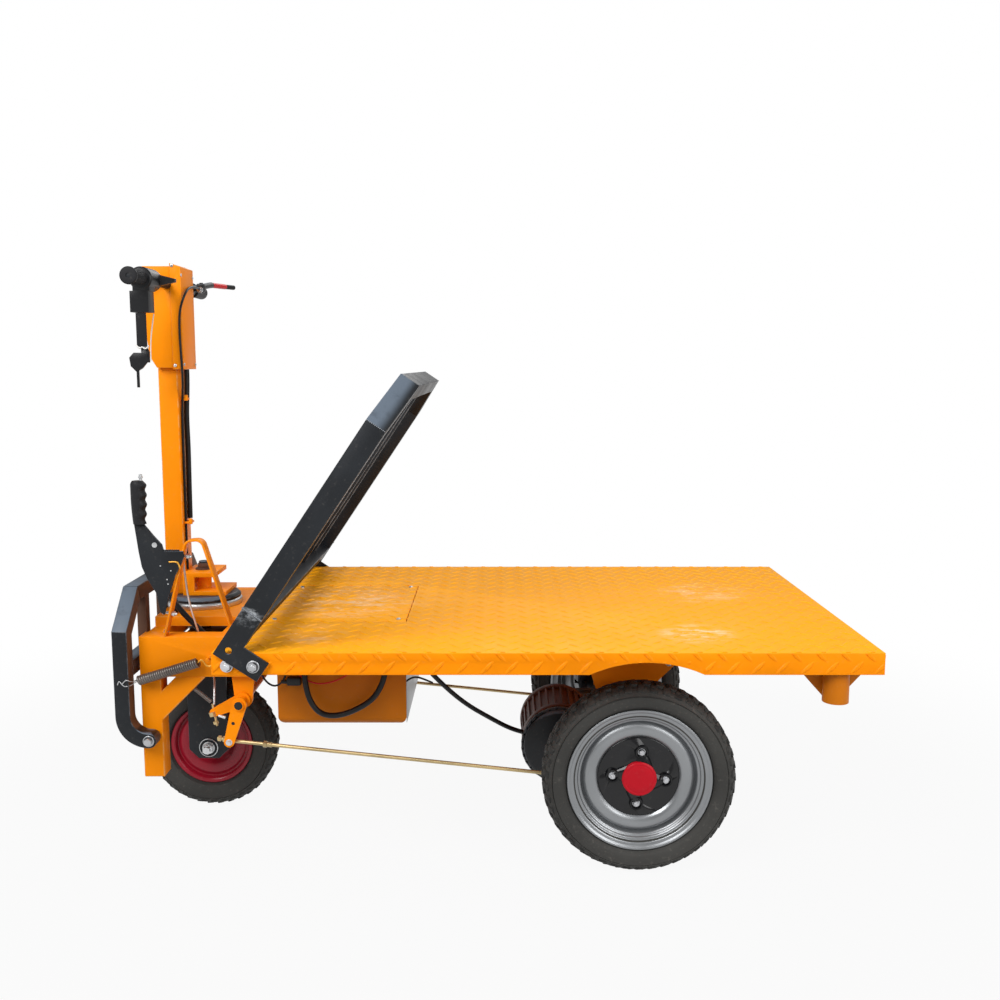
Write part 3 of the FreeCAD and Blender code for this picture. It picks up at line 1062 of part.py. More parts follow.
def build_keys():
    """Strap hung on the handlebar behind the throttle, with two keys on its end."""
    side = "-bar_half + throttle_length + 3"
    inside = "(bar_radius + seat_gap)"
    loop = turned([(0, inside), ("strap_loop", inside), ("strap_loop", f"{inside} + strap_thick"),
                   (0, f"{inside} + strap_thick")], ("bar_place", side, "bar_height"))
    near = f"bar_place - {inside} - seat_gap"
    low = "bar_height - strap_long"
    tail = plate("XZ", [(near, "bar_height - strap_wide / 3"), ("bar_place - strap_out + strap_wide", "bar_height - 30"),
                        ("bar_place - strap_out + strap_wide", low), ("bar_place - strap_out", low),
                        ("bar_place - strap_out", "bar_height - 30"), (f"{near} - 8", "bar_height + 2"),
                        (near, "bar_height + 2")], "strap_thick", (0, side, 0))
    node("key_strap", fuse(loop, tail))
    spot = ("bar_place - strap_out + strap_wide / 2", low)
    head = plate("XZ", drawn([(-3.2, -2.6), (-2.1, -1.4), (-0.6, -1.4), (1.2, -1.8), (1.5, -3.4), (0, -5.2), (-1.5, -6.1),
                              (-2.9, -4.7)], "key_unit", spot), "key_thick", (0, f"{side} - key_thick / 2", 0))
    second = plate("XZ", drawn([(-0.3, -0.03), (1.2, -0.03), (1.7, -1.2), (1.7, -3.8), (-0.3, -3.8)], "key_unit", spot),
                   "key_thick", (0, side, 0))
    blade = plate("XZ", drawn([(-1.6, -5), (-0.9, -5), (-0.9, -9.9), (-1.6, -9.9)], "key_unit", spot),
                  "key_thick / 3", (0, f"{side} - key_thick / 6", 0))
    node("keys", fuse(head, second, blade))


build_deck()
build_rails()
build_cross_members()
build_legs()
build_turntable()
build_fork()
build_bracket()
build_post()
build_head()
build_controls()
build_driven_wheels()
build_steered_wheel()
build_axle()
build_drive()
build_axle_hangers()
build_battery()
build_rack()
build_pedal()
node("pivot_bolts", group(rack_bolts(), pedal_bolts()))
build_springs()
build_hand_brake()
build_linkage()
build_sockets()
build_cables()
build_keys()

doc.recompute()
faults = [thing.Name for thing in doc.Objects if {"Invalid", "Error"} & set(thing.State)]
faults += [name for name, thing in NODES.items() if thing.Shape.isNull() or not thing.Shape.isValid()]
if faults:
    raise SystemExit("these objects failed: " + ", ".join(faults))

os.makedirs("parts", exist_ok=True)
for name, thing in NODES.items():
    thing.Shape.exportStep(f"parts/{name}.step")
print(len(NODES), "nodes")
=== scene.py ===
"""Looks of a three-wheeled electric hand cart, built round its CAD frame.

All sizes are metres. +X runs along the bed away from the steering post, +Y to the rider's left and +Z up,
so the right side of the cart is towards -Y.
"""
import json
import math

import bmesh
import bpy
from mathutils import Matrix, Vector


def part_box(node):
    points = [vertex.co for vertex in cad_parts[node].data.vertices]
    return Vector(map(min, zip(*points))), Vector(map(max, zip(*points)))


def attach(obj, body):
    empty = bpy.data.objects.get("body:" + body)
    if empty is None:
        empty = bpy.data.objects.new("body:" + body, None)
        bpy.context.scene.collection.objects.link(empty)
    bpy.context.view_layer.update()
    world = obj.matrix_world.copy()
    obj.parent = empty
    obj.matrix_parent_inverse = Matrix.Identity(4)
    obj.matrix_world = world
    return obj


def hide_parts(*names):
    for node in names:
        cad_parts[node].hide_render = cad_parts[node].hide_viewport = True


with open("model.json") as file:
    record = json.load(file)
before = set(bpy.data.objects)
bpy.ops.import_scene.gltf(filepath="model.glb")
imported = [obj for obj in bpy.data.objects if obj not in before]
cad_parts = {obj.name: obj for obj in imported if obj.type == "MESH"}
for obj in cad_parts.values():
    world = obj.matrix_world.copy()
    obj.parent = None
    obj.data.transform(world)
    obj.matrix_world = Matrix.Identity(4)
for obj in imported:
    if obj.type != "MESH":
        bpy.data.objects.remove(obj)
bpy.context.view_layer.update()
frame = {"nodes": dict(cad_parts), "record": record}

SIDES = {"right": -1, "left": 1}
X, Y, Z = (1, 0, 0), (0, 1, 0), (0, 0, 1)

# The camera's place in metres, how many degrees it looks down, its lens and its shift sideways.
CAMERA_PLACE = (0.043, -2.7475, 1.195)
CAMERA_PITCH = 7.396
CAMERA_LENS = 37.44
CAMERA_SHIFT = 0.003

# What the frame says of its nodes and joints.
BEHAVIOUR = frame["record"]["behaviour"]
BODY_OF = {node: body for body, nodes in BEHAVIOUR["bodies"].items() for node in nodes}
SLOT_OF = {part["node"]: part["material_slot"] for part in frame["record"]["subparts"]}
JOINTS = {joint["name"]: joint for joint in BEHAVIOUR["joints"]}
PIVOT = {name: Vector(joint["pos_m"]) for name, joint in JOINTS.items()}

# Places that several pieces share: the handlebar's middle and half its length, then the bed's top and sides.
BAR = Vector((-0.798, 0, 1.398))
BAR_HALF = 0.33
DECK_TOP = 0.56
DECK_REAR = 0.907
DECK_FRONT = -0.593
DECK_HALF = 0.5
STEER_AXLE = PIVOT["steered_wheel_roll"]
RACK_PIVOT = PIVOT["rack_fold"]
RACK_ANGLE = math.radians(JOINTS["rack_fold"]["range_deg"][1])
PEDAL_PIVOT = PIVOT["pedal_fold"]


# ---- camera and cords ----------------------------------------------------------------------------

def add_camera():
    """Stand the camera off the right side, looking square at the cart and a little down."""
    data = bpy.data.cameras.new("camera")
    data.lens = CAMERA_LENS
    data.shift_x = CAMERA_SHIFT
    camera = bpy.data.objects.new("camera", data)
    camera.location = CAMERA_PLACE
    camera.rotation_euler = (math.radians(90 - CAMERA_PITCH), 0, 0)
    bpy.context.collection.objects.link(camera)
    bpy.context.scene.camera = camera


def rounded_line(name, points, radius, steps=10, roundness=4):
    """A tube along one smooth spline."""
    data = bpy.data.curves.new(name, "CURVE")
    data.dimensions = "3D"
    data.resolution_u = steps
    data.bevel_depth = radius
    data.bevel_resolution = roundness
    data.use_fill_caps = True
    spline = data.splines.new("NURBS")
    spline.points.add(len(points) - 1)
    for spot, point in zip(spline.points, points):
        spot.co = (*point, 1)
    spline.order_u = 3
    spline.use_endpoint_u = True
    piece = bpy.data.objects.new(name, data)
    bpy.context.collection.objects.link(piece)
    return piece


def held_lead(node, points, radius):
    """A lead that runs from one place on the cart to another."""
    piece = rounded_line(node.replace("_", " ").title().replace(" ", "") + "Run", points, radius)
    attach(piece, BODY_OF[node])
    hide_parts(node)
    return piece


add_camera()
LEADS = {
    "battery_lead": held_lead("battery_lead", [
        (-0.424, -0.2753, 0.47), (-0.424, -0.3, 0.47), (-0.422, -0.306, 0.428), (-0.41, -0.308, 0.382),
        (-0.382, -0.308, 0.35), (-0.33, -0.308, 0.35), (-0.262, -0.307, 0.384), (-0.234, -0.305, 0.428),
        (-0.226, -0.3, 0.47), (-0.226, -0.2753, 0.47)], 0.007),
    "motor_lead": held_lead("motor_lead", [
        (-0.1797, -0.205, 0.452), (-0.1459, -0.205, 0.452), (-0.1001, -0.192, 0.396),
        (-0.0399, -0.174, 0.336), (0.0241, -0.14, 0.286), (0.0813, -0.108, 0.2434),
        (0.1104, -0.108, 0.2362)], 0.006),
    "frame_harness": held_lead("frame_harness", [
        (-0.786, -0.125, 0.5603), (-0.786, -0.125, 0.615), (-0.774, -0.205, 0.62), (-0.73, -0.205, 0.566),
        (-0.672, -0.205, 0.508), (-0.614, -0.205, 0.455), (-0.566, -0.205, 0.445), (-0.4963, -0.205, 0.445)],
        0.007),
    "brake_cable": held_lead("brake_cable", [
        (-0.758, 0.1217, 1.396), (-0.757, 0.085, 1.4), (-0.752, -0.01, 1.396), (-0.75, -0.066, 1.372),
        (-0.766, -0.0605, 1.33), (-0.768, -0.0586, 1.27), (-0.7635, -0.0586, 1.158), (-0.7787, -0.02, 1.107),
        (-0.7817, -0.02, 1.048), (-0.7817, -0.02, 0.6553)], 0.003),
    "post_harness": held_lead("post_harness", [
        (-0.773, 0.008, 1.1837), (-0.773, 0.008, 1.1427), (-0.7777, 0.006, 1.0677), (-0.776, 0.006, 0.9777),
        (-0.777, 0.005, 0.8877), (-0.7777, 0.005, 0.7897)], 0.007),
    "hand_brake_cable": held_lead("hand_brake_cable", [
        (-0.721, -0.2523, 0.716), (-0.718, -0.249, 0.64), (-0.704, -0.229, 0.556), (-0.68, -0.226, 0.47),
        (-0.661, -0.231, 0.424), (-0.655, -0.262, 0.394), (-0.654, -0.272, 0.366)], 0.0025),
}


# ---- finishes ------------------------------------------------------------------------------------

def add(tree, kind, settings=None, **inputs):
    """A new shader node, with its settings and its inputs' values."""
    made = tree.nodes.new(kind)
    for name, value in (settings or {}).items():
        setattr(made, name, value)
    for name, value in inputs.items():
        made.inputs[name.replace("_", " ")].default_value = value
    return made


def mixed(tree, kind, factor, first, second):
    """A colour mix whose three inputs are sockets or plain colours."""
    made = add(tree, "ShaderNodeMix", {"data_type": "RGBA", "blend_type": kind})
    for socket, value in ((made.inputs[0], factor), (made.inputs[6], first), (made.inputs[7], second)):
        if isinstance(value, bpy.types.NodeSocket):
            tree.links.new(value, socket)
        else:
            socket.default_value = value
    return made.outputs[2]


def sums(tree, operation, first, second=None, third=None):
    """A math node whose inputs are sockets or plain numbers."""
    made = add(tree, "ShaderNodeMath", {"operation": operation})
    for socket, value in zip(made.inputs, (first, second, third)):
        if isinstance(value, bpy.types.NodeSocket):
            tree.links.new(value, socket)
        elif value is not None:
            socket.default_value = value
    return made.outputs[0]


def new_group(name, inputs, outputs):
    """An empty node group with its sockets."""
    group = bpy.data.node_groups.new(name, "ShaderNodeTree")
    for label, kind, value in inputs:
        socket = group.interface.new_socket(label, in_out="INPUT", socket_type=kind)
        socket.default_value = value
    for label, kind in outputs:
        group.interface.new_socket(label, in_out="OUTPUT", socket_type=kind)
    return group, group.nodes.new("NodeGroupInput"), group.nodes.new("NodeGroupOutput")


def noise(tree, coordinates, scale, detail, roughness=0.5):
    """A noise's value over object coordinates."""
    made = add(tree, "ShaderNodeTexNoise", Detail=detail, Roughness=roughness)
    tree.links.new(coordinates, made.inputs["Vector"])
    if isinstance(scale, bpy.types.NodeSocket):
        tree.links.new(scale, made.inputs["Scale"])
    else:
        made.inputs["Scale"].default_value = scale
    return made.outputs["Fac"]


def ramped(tree, value, low, high, to_low=0.0, to_high=1.0):
    """A value mapped smoothly from one range to another."""
    made = add(tree, "ShaderNodeMapRange", {"interpolation_type": "SMOOTHSTEP"})
    tree.links.new(value, made.inputs["Value"])
    for name, number in (("From Min", low), ("From Max", high), ("To Min", to_low), ("To Max", to_high)):
        made.inputs[name].default_value = number
    return made.outputs["Result"]


# Waves to a metre of the clouds, the rubbed patches and the specks of dust.
CLOUD_SCALE = 7.0
PATCH_SCALE = 38.0
SPECK_SCALE = 95.0
COAT_ROUGHNESS = 0.12


def coated_surface():
    """Group for every coating: cloudy colour, rubbed edges, settled dust and a fine grain. Its rubbed colour
    also paints shade, darkening the tyres' tread blocks.
    """
    group, given, result = new_group("Coated surface", [
        ("Colour", "NodeSocketColor", (0.5, 0.5, 0.5, 1)),
        ("Bare Colour", "NodeSocketColor", (0.5, 0.5, 0.5, 1)),
        ("Dust Colour", "NodeSocketColor", (0.42, 0.38, 0.33, 1)),
        ("Rub", "NodeSocketFloat", 0.5),
        ("Cloud", "NodeSocketFloat", 0.2),
        ("Dust", "NodeSocketFloat", 0.1),
        ("Roughness", "NodeSocketFloat", 0.4),
        ("Grain Scale", "NodeSocketFloat", 400.0),
    ], [("Colour", "NodeSocketColor"), ("Roughness", "NodeSocketFloat"), ("Height", "NodeSocketFloat")])
    where = add(group, "ShaderNodeTexCoord").outputs["Object"]
    cloudy = ramped(group, noise(group, where, CLOUD_SCALE, 4.0), 0.3, 0.7)
    shade = sums(group, "MULTIPLY_ADD", sums(group, "SUBTRACT", cloudy, 0.5), given.outputs["Cloud"], 1.0)
    clouded = add(group, "ShaderNodeHueSaturation")
    group.links.new(given.outputs["Colour"], clouded.inputs["Color"])
    group.links.new(shade, clouded.inputs["Value"])
    worn_and_shaded = add(group, "ShaderNodeAttribute", {"attribute_name": "rub_and_shade"}).outputs["Fac"]
    patchy = ramped(group, noise(group, where, PATCH_SCALE, 6.0, 0.65), 0.42, 0.62)
    rubbed = sums(group, "MULTIPLY", sums(group, "MULTIPLY", worn_and_shaded, patchy), given.outputs["Rub"])
    speck = ramped(group, noise(group, where, SPECK_SCALE, 8.0, 0.7), 0.55, 0.75)
    settled = sums(group, "MULTIPLY", speck, given.outputs["Dust"])
    bare = mixed(group, "MIX", rubbed, clouded.outputs["Color"], given.outputs["Bare Colour"])
    group.links.new(mixed(group, "MIX", settled, bare, given.outputs["Dust Colour"]), result.inputs["Colour"])
    dulled = sums(group, "MULTIPLY_ADD", settled, 0.5, given.outputs["Roughness"])
    uneven = sums(group, "MULTIPLY_ADD", sums(group, "SUBTRACT", cloudy, 0.5), 0.12, dulled)
    group.links.new(uneven, result.inputs["Roughness"])
    grain = noise(group, where, given.outputs["Grain Scale"], 3.0)
    group.links.new(grain, result.inputs["Height"])
    return group


def scuffed_patch():
    """Group for pale streaky scuffs within a given distance of a spot."""
    group, given, result = new_group("Scuffed patch", [
        ("Spot", "NodeSocketVector", (0, 0, 0)),
        ("Reach", "NodeSocketFloat", 0.2),
        ("Amount", "NodeSocketFloat", 0.5),
    ], [("Mask", "NodeSocketFloat")])
    where = add(group, "ShaderNodeTexCoord").outputs["Object"]
    gap = add(group, "ShaderNodeVectorMath", {"operation": "DISTANCE"})
    group.links.new(where, gap.inputs[0])
    group.links.new(given.outputs["Spot"], gap.inputs[1])
    near = sums(group, "SUBTRACT", 1.0, sums(group, "DIVIDE", gap.outputs["Value"], given.outputs["Reach"]))
    stretch = add(group, "ShaderNodeMapping", Scale=(5.0, 16.0, 10.0), Rotation=(0, 0, 0.25))
    group.links.new(where, stretch.inputs["Vector"])
    streaks = ramped(group, noise(group, stretch.outputs["Vector"], 2.4, 8.0, 0.72), 0.46, 0.64)
    shown = sums(group, "MULTIPLY", sums(group, "MAXIMUM", near, 0.0), streaks)
    group.links.new(sums(group, "MULTIPLY", shown, given.outputs["Amount"]), result.inputs["Mask"])
    return group


def placed(tree, group, **values):
    """A group placed in a material with its own values."""
    made = add(tree, "ShaderNodeGroup", {"node_tree": group})
    for name, value in values.items():
        made.inputs[name.replace("_", " ")].default_value = value
    return made


def tint(red, green, blue):
    """A colour with its alpha."""
    return (red, green, blue, 1.0)


def facing_mask(tree, direction, low, high):
    """1 where a surface faces a direction on either side of the cart, 0 where it turns away."""
    normal = add(tree, "ShaderNodeTexCoord").outputs["Normal"]
    axes = add(tree, "ShaderNodeSeparateXYZ")
    tree.links.new(normal, axes.inputs[0])
    parts = (axes.outputs[0], sums(tree, "ABSOLUTE", axes.outputs[1]), axes.outputs[2])
    total = 0.0
    for part, share in zip(parts, direction):
        total = sums(tree, "MULTIPLY_ADD", part, share, total)
    return ramped(tree, total, low, high)


def coating(name, colour, roughness, bare, rub_and_shade, cloud, dust, grain, metal=0.0, coat=0.0, gloss=0.5,
            bump=0.0002, scuffs=(), scuff_colour=(0.93, 0.8, 0.62), faded=()):
    """Add a finish of the coated surface group, with its scuffs and its faces of another colour by the way
    they face: painted light on lit tops and on faces that look up, primer on faces turned to the cart.
    """
    made = FINISHES[name] = bpy.data.materials.new(name)
    made.use_nodes = True
    tree = made.node_tree
    shader = tree.nodes["Principled BSDF"]
    shader.inputs["Metallic"].default_value = metal
    shader.inputs["Coat Weight"].default_value = coat
    shader.inputs["Coat Roughness"].default_value = COAT_ROUGHNESS
    shader.inputs["Specular IOR Level"].default_value = gloss
    surface = placed(tree, COATED, Colour=tint(*colour), Bare_Colour=tint(*bare), Roughness=roughness,
                     Rub=rub_and_shade, Cloud=cloud, Dust=dust, Grain_Scale=grain)
    shown = surface.outputs["Colour"]
    # Painted light and primer by the way a face turns: a lighter top, a bluish sky reflection on black paint,
    # primer on the pedal's back faces.
    for direction, low, high, shade, amount in faded:
        mask = sums(tree, "MULTIPLY", facing_mask(tree, direction, low, high), amount)
        where = add(tree, "ShaderNodeTexCoord").outputs["Object"]
        uneven = ramped(tree, noise(tree, where, 30.0, 6.0, 0.6), 0.2, 0.5, 0.55, 1.0)
        shown = mixed(tree, "MIX", sums(tree, "MULTIPLY", mask, uneven), shown, tint(*shade))
    for spot, reach, amount in scuffs:
        patch = placed(tree, SCUFFED, Spot=spot, Reach=reach, Amount=amount)
        shown = mixed(tree, "MIX", patch.outputs["Mask"], shown, tint(*scuff_colour))
    tree.links.new(shown, shader.inputs["Base Color"])
    tree.links.new(surface.outputs["Roughness"], shader.inputs["Roughness"])
    relief = add(tree, "ShaderNodeBump", Strength=0.5, Distance=bump)
    tree.links.new(surface.outputs["Height"], relief.inputs["Height"])
    tree.links.new(relief.outputs["Normal"], shader.inputs["Normal"])


COATED = coated_surface()
SCUFFED = scuffed_patch()
FINISHES = {}
ORANGE = (0.97, 0.28, 0.002)
BLACK = (0.009, 0.011, 0.014)
WORN_BLACK = (0.16, 0.17, 0.19)
PRIMER_BROWN = (0.105, 0.052, 0.032)
DECK_SCUFFS = [((-0.36, 0.0, DECK_TOP), 0.24, 0.6), ((-0.42, -0.34, DECK_TOP), 0.12, 0.5),
               ((0.52, -0.33, DECK_TOP), 0.1, 1.1), ((0.62, 0.12, DECK_TOP), 0.16, 0.5)]
WELD_SCUFFS = [((-0.5, side * 0.511, 0.65), 0.042, 1.9) for side in SIDES.values()]

# Faces of another colour by the way they face, which paint light on a lit top and a sky reflection on faces
# that look up, and primer on faces turned to the cart: the way they face, where the colour starts and is
# full, its colour and its strength.
# Painted light: a top that faces the lamps is painted a lighter, yellower orange than the sides.
PAINTED_LIT_TOP = ((0.0, 0.0, 1.0), 0.5, 0.8, (0.98, 0.4, 0.007), 1.0)
# Painted reflection: black faces that look up and out are painted a bluish grey for the sky they reflect.
PAINTED_SKY_REFLECTION = ((0.0, 0.6, 0.8), 0.8, 0.9, (0.115, 0.145, 0.185), 1.0)
BROWN_BACK = ((1.0, 0.0, 0.0), 0.6, 0.75, PRIMER_BROWN, 0.95)

# Each finish: its colour, roughness and bare colour, which on the tyre is a painted shade for its blocks; how
# rubbed, cloudy and dusty it is; its grain; the rest.
PAINTS = {
    "orange_paint": (ORANGE, 0.42, (0.86, 0.52, 0.2), 0.5, 0.1, 0.06, 260, {"gloss": 0.1}),
    # Painted shade: a darker copy of the orange paint, for the battery box in the bed's shadow and for the
    # stake sockets.
    "shaded_orange": ((0.58, 0.165, 0.004), 0.44, (0.7, 0.4, 0.16), 0.5, 0.2, 0.08, 260, {"gloss": 0.16}),
    # The deck's top is painted lighter, as painted light.
    "deck_paint": (ORANGE, 0.44, (0.98, 0.62, 0.12), 0.5, 0.16, 0.05, 260,
                   {"gloss": 0.07, "scuffs": DECK_SCUFFS, "faded": [PAINTED_LIT_TOP]}),
    # The black paints carry a painted sky reflection on faces that look up.
    "black_paint": (BLACK, 0.44, WORN_BLACK, 0.6, 0.5, 0.07, 500,
                    {"gloss": 0.3, "scuffs": WELD_SCUFFS, "scuff_colour": (0.34, 0.36, 0.38),
                     "faded": [PAINTED_SKY_REFLECTION]}),
    "pedal_paint": (BLACK, 0.46, WORN_BLACK, 0.6, 0.5, 0.07, 500,
                    {"gloss": 0.3, "faded": [PAINTED_SKY_REFLECTION, BROWN_BACK]}),
    "primer_brown": (PRIMER_BROWN, 0.6, (0.22, 0.12, 0.08), 0.6, 0.8, 0.1, 300, {"gloss": 0.25}),
    "silver_paint": ((0.27, 0.28, 0.29), 0.34, (0.5, 0.5, 0.5), 0.4, 0.16, 0.1, 700, {"metal": 0.8}),
    "red_paint": ((0.3, 0.006, 0.02), 0.32, (0.42, 0.05, 0.06), 0.5, 0.3, 0.12, 300,
                  {"coat": 0.2, "gloss": 0.3}),
    "bright_red": ((0.62, 0.01, 0.014), 0.34, (0.7, 0.1, 0.1), 0.3, 0.1, 0.05, 300, {"gloss": 0.3}),
    "cap_red": ((0.48, 0.004, 0.014), 0.34, (0.5, 0.06, 0.07), 0.3, 0.2, 0.04, 300, {"gloss": 0.2}),
    # Painted shade: the tread blocks are marked as rubbed, and this bare colour paints them darker than the
    # sidewall, for the shade in the gaps between them.
    "tyre_rubber": ((0.042, 0.041, 0.038), 0.72, (0.017, 0.017, 0.017), 1.2, 0.4, 0.16, 220,
                    {"gloss": 0.3, "bump": 0.0006}),
    "zinc_steel": ((0.6, 0.61, 0.62), 0.32, (0.75, 0.75, 0.75), 0.5, 0.4, 0.1, 900, {"metal": 0.9}),
    "dull_zinc": ((0.56, 0.57, 0.59), 0.34, (0.03, 0.03, 0.035), 1.3, 0.5, 0.12, 900, {"metal": 0.7}),
    "yellow_zinc": ((0.52, 0.4, 0.2), 0.38, (0.66, 0.6, 0.45), 0.5, 0.5, 0.15, 900, {"metal": 0.7}),
    "gold_zinc": ((0.85, 0.42, 0.05), 0.36, (0.9, 0.62, 0.25), 0.5, 0.3, 0.05, 900, {"metal": 0.4}),
    "spring_steel": ((0.19, 0.165, 0.15), 0.34, (0.55, 0.52, 0.48), 0.5, 0.7, 0.3, 900, {"metal": 0.6}),
    "motor_paint": ((0.13, 0.04, 0.016), 0.5, (0.3, 0.15, 0.08), 0.7, 0.5, 0.12, 200, {"gloss": 0.3}),
    "black_plastic": ((0.006, 0.0065, 0.008), 0.36, (0.05, 0.05, 0.055), 0.4, 0.3, 0.05, 1200,
                      {"gloss": 0.3}),
    "gloss_black": ((0.004, 0.004, 0.005), 0.14, (0.03, 0.03, 0.03), 0.2, 0.2, 0.03, 900, {"gloss": 0.4}),
    "black_rubber": ((0.009, 0.009, 0.011), 0.6, (0.05, 0.05, 0.05), 0.5, 0.3, 0.08, 700,
                     {"gloss": 0.3, "bump": 0.0004}),
    "cable_sheath": ((0.006, 0.006, 0.007), 0.46, (0.04, 0.04, 0.04), 0.3, 0.3, 0.06, 800, {"gloss": 0.3}),
    "white_string": ((0.78, 0.77, 0.74), 0.7, (0.8, 0.8, 0.8), 0.5, 0.2, 0.1, 1500, {"bump": 0.0005}),
    "weld_bead": ((0.3, 0.32, 0.35), 0.45, (0.6, 0.6, 0.6), 0.5, 0.7, 0.2, 300, {"metal": 0.6}),
}
for name, (*values, more) in PAINTS.items():
    coating(name, *values, **more)


# ---- making pieces -------------------------------------------------------------------------------

# Edges that turn by more than this many degrees stay sharp.
SHARP = 35


def finished(bm, name, body, finish, stands_for=(), crease=SHARP):
    """Turn a bmesh into a piece that rides on its body, smooth but for its creases."""
    mesh = bpy.data.meshes.new(name)
    bm.to_mesh(mesh)
    bm.free()
    mesh.shade_smooth()
    mesh.set_sharp_from_angle(angle=math.radians(crease))
    mesh.materials.append(FINISHES[finish])
    piece = bpy.data.objects.new(name, mesh)
    bpy.context.collection.objects.link(piece)
    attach(piece, body)
    if stands_for:
        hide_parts(*stands_for)
    return piece


def stand_in(bm, node, finish, crease=SHARP):
    """Finish a bmesh as the piece that takes one CAD node's place."""
    return finished(bm, node + ".piece", BODY_OF[node], finish, [node], crease)


def rub_and_shade_layer(bm):
    """The layer that says how much each face gets rubbed, and how much painted shade darkens the tyres'
    blocks.
    """
    return bm.faces.layers.float.get("rub_and_shade") or bm.faces.layers.float.new("rub_and_shade")


def mark_from(bm, layer, first, amount):
    """Mark the faces made since there were so many of them."""
    bm.faces.ensure_lookup_table()
    for face in bm.faces[first:]:
        face[layer] = amount


def bevelled(bm, edges, width, segments=2):
    """Round some edges and return the new faces."""
    return bmesh.ops.bevel(bm, geom=edges, offset=width, segments=segments, profile=0.5, affect="EDGES",
                           material=-1, clamp_overlap=True)["faces"]


def edges_of(verts):
    """The edges that meet at some vertices, each once."""
    return list({edge for vert in verts for edge in vert.link_edges})


def dressed(node, width, finish):
    """Stand in for a CAD node with the same shape, its edges rounded as the maker left them."""
    bm = bmesh.new()
    bm.from_mesh(frame["nodes"][node].data)
    bmesh.ops.remove_doubles(bm, verts=bm.verts, dist=1e-5)
    bmesh.ops.dissolve_limit(bm, angle_limit=math.radians(1), verts=bm.verts, edges=bm.edges)
    rub_and_shade = rub_and_shade_layer(bm)
    sharp = [edge for edge in bm.edges if len(edge.link_faces) == 2
             and edge.calc_face_angle(0) > math.radians(SHARP)]
    for face in bevelled(bm, sharp, width):
        face[rub_and_shade] = 1.0
    return stand_in(bm, node, finish)


def spun(profile, steps, middle, out=-1, closed=True):
    """A ring turned about an axle along Y, from (outwards, radius) points; out is the outer side's sign."""
    bm = bmesh.new()
    spots = [bm.verts.new((middle[0] + radius, middle[1] + out * along, middle[2]))
             for along, radius in profile]
    pairs = list(zip(spots, spots[1:])) + ([(spots[-1], spots[0])] if closed else [])
    edges = [bm.edges.new(pair) for pair in pairs]
    bmesh.ops.spin(bm, geom=spots + edges, cent=middle, axis=Y, dvec=(0, 0, 0), angle=2 * math.pi,
                   steps=steps, use_merge=True, use_duplicate=False)
    bmesh.ops.remove_doubles(bm, verts=bm.verts, dist=1e-6)
    bmesh.ops.recalc_face_normals(bm, faces=bm.faces)
    return bm


def turned(bm, profile, steps, stand):
    """Add a solid of revolution about its stand's Z axis, from (radius, height) points."""
    spots = [bm.verts.new((radius, 0, height)) for radius, height in profile]
    edges = [bm.edges.new(pair) for pair in zip(spots, spots[1:])]
    bmesh.ops.spin(bm, geom=spots + edges, cent=(0, 0, 0), axis=Z, dvec=(0, 0, 0), angle=2 * math.pi,
                   steps=steps, use_merge=True, use_duplicate=False)
    group = set(spots)
    stack = list(spots)
    while stack:
        for edge in stack.pop().link_edges:
            for vert in edge.verts:
                if vert not in group:
                    group.add(vert)
                    stack.append(vert)
    bmesh.ops.transform(bm, matrix=stand, verts=list(group))


def disc(bm, radius, height, sides, stand, dome=0.0):
    """Add a low round disc that stands on its base, its middle raised by a dome."""
    turned(bm, [(0, 0), (radius, 0), (radius, height), (0, height + dome)], sides, stand)


def block(bm, size, stand, ease=0.0):
    """Add a box of a size, centred on its stand, with eased edges."""
    made = bmesh.ops.create_cube(bm, size=1, matrix=stand @ Matrix.Diagonal((*size, 1)))
    if ease:
        bevelled(bm, edges_of(made["verts"]), ease)


def block_at(bm, spot, size, ease=0.0):
    """Add a box of a size, square to the cart and centred on a spot."""
    block(bm, size, Matrix.Translation(spot), ease)


def facing(spot, out):
    """A stand at a spot whose Z axis points outwards."""
    return Matrix.Translation(spot) @ Vector(out).to_track_quat("Z", "Y").to_matrix().to_4x4()


def bar_between(bm, start, end, radius, sides=16):
    """Add a round bar between two points."""
    start, end = Vector(start), Vector(end)
    stand = facing((start + end) / 2, end - start)
    bmesh.ops.create_cone(bm, cap_ends=True, segments=sides, radius1=radius, radius2=radius,
                          depth=(end - start).length, matrix=stand)


def hexagon(bm, radius, depth, ease, stand):
    """Add a hexagon with eased edges that stands on its base."""
    made = bmesh.ops.create_cone(bm, cap_ends=True, segments=6, radius1=radius, radius2=radius, depth=depth,
                                 matrix=stand @ Matrix.Translation((0, 0, depth / 2)))
    bevelled(bm, edges_of(made["verts"]), ease)


def hex_bolt(bm, spot, out, radius, washer=0.0018, nut=False, tall=0.8):
    """Add a hexagon bolt head on its washer and spring ring, with the thread's end where it is a nut."""
    stand = facing(spot, out)
    marked = rub_and_shade_layer(bm)
    turned(bm, [(0, 0), (radius * 1.45, 0), (radius * 1.45, washer * 0.8), (radius * 1.4, washer),
                (0, washer)], 28, stand)
    first = len(bm.faces)
    top = washer + 0.0016
    turned(bm, [(0, washer), (radius * 1.18, washer), (radius * 1.22, top), (0, top)], 24, stand)
    mark_from(bm, marked, first, 1.0)
    depth = radius * tall
    hexagon(bm, radius * 1.06, depth, radius * 0.09, stand @ Matrix.Translation((0, 0, top)))
    if nut:
        turned(bm, [(0, top), (radius * 0.58, top), (radius * 0.58, top + depth + 0.001),
                    (radius * 0.48, top + depth + 0.0018), (0, top + depth + 0.0018)], 16, stand)


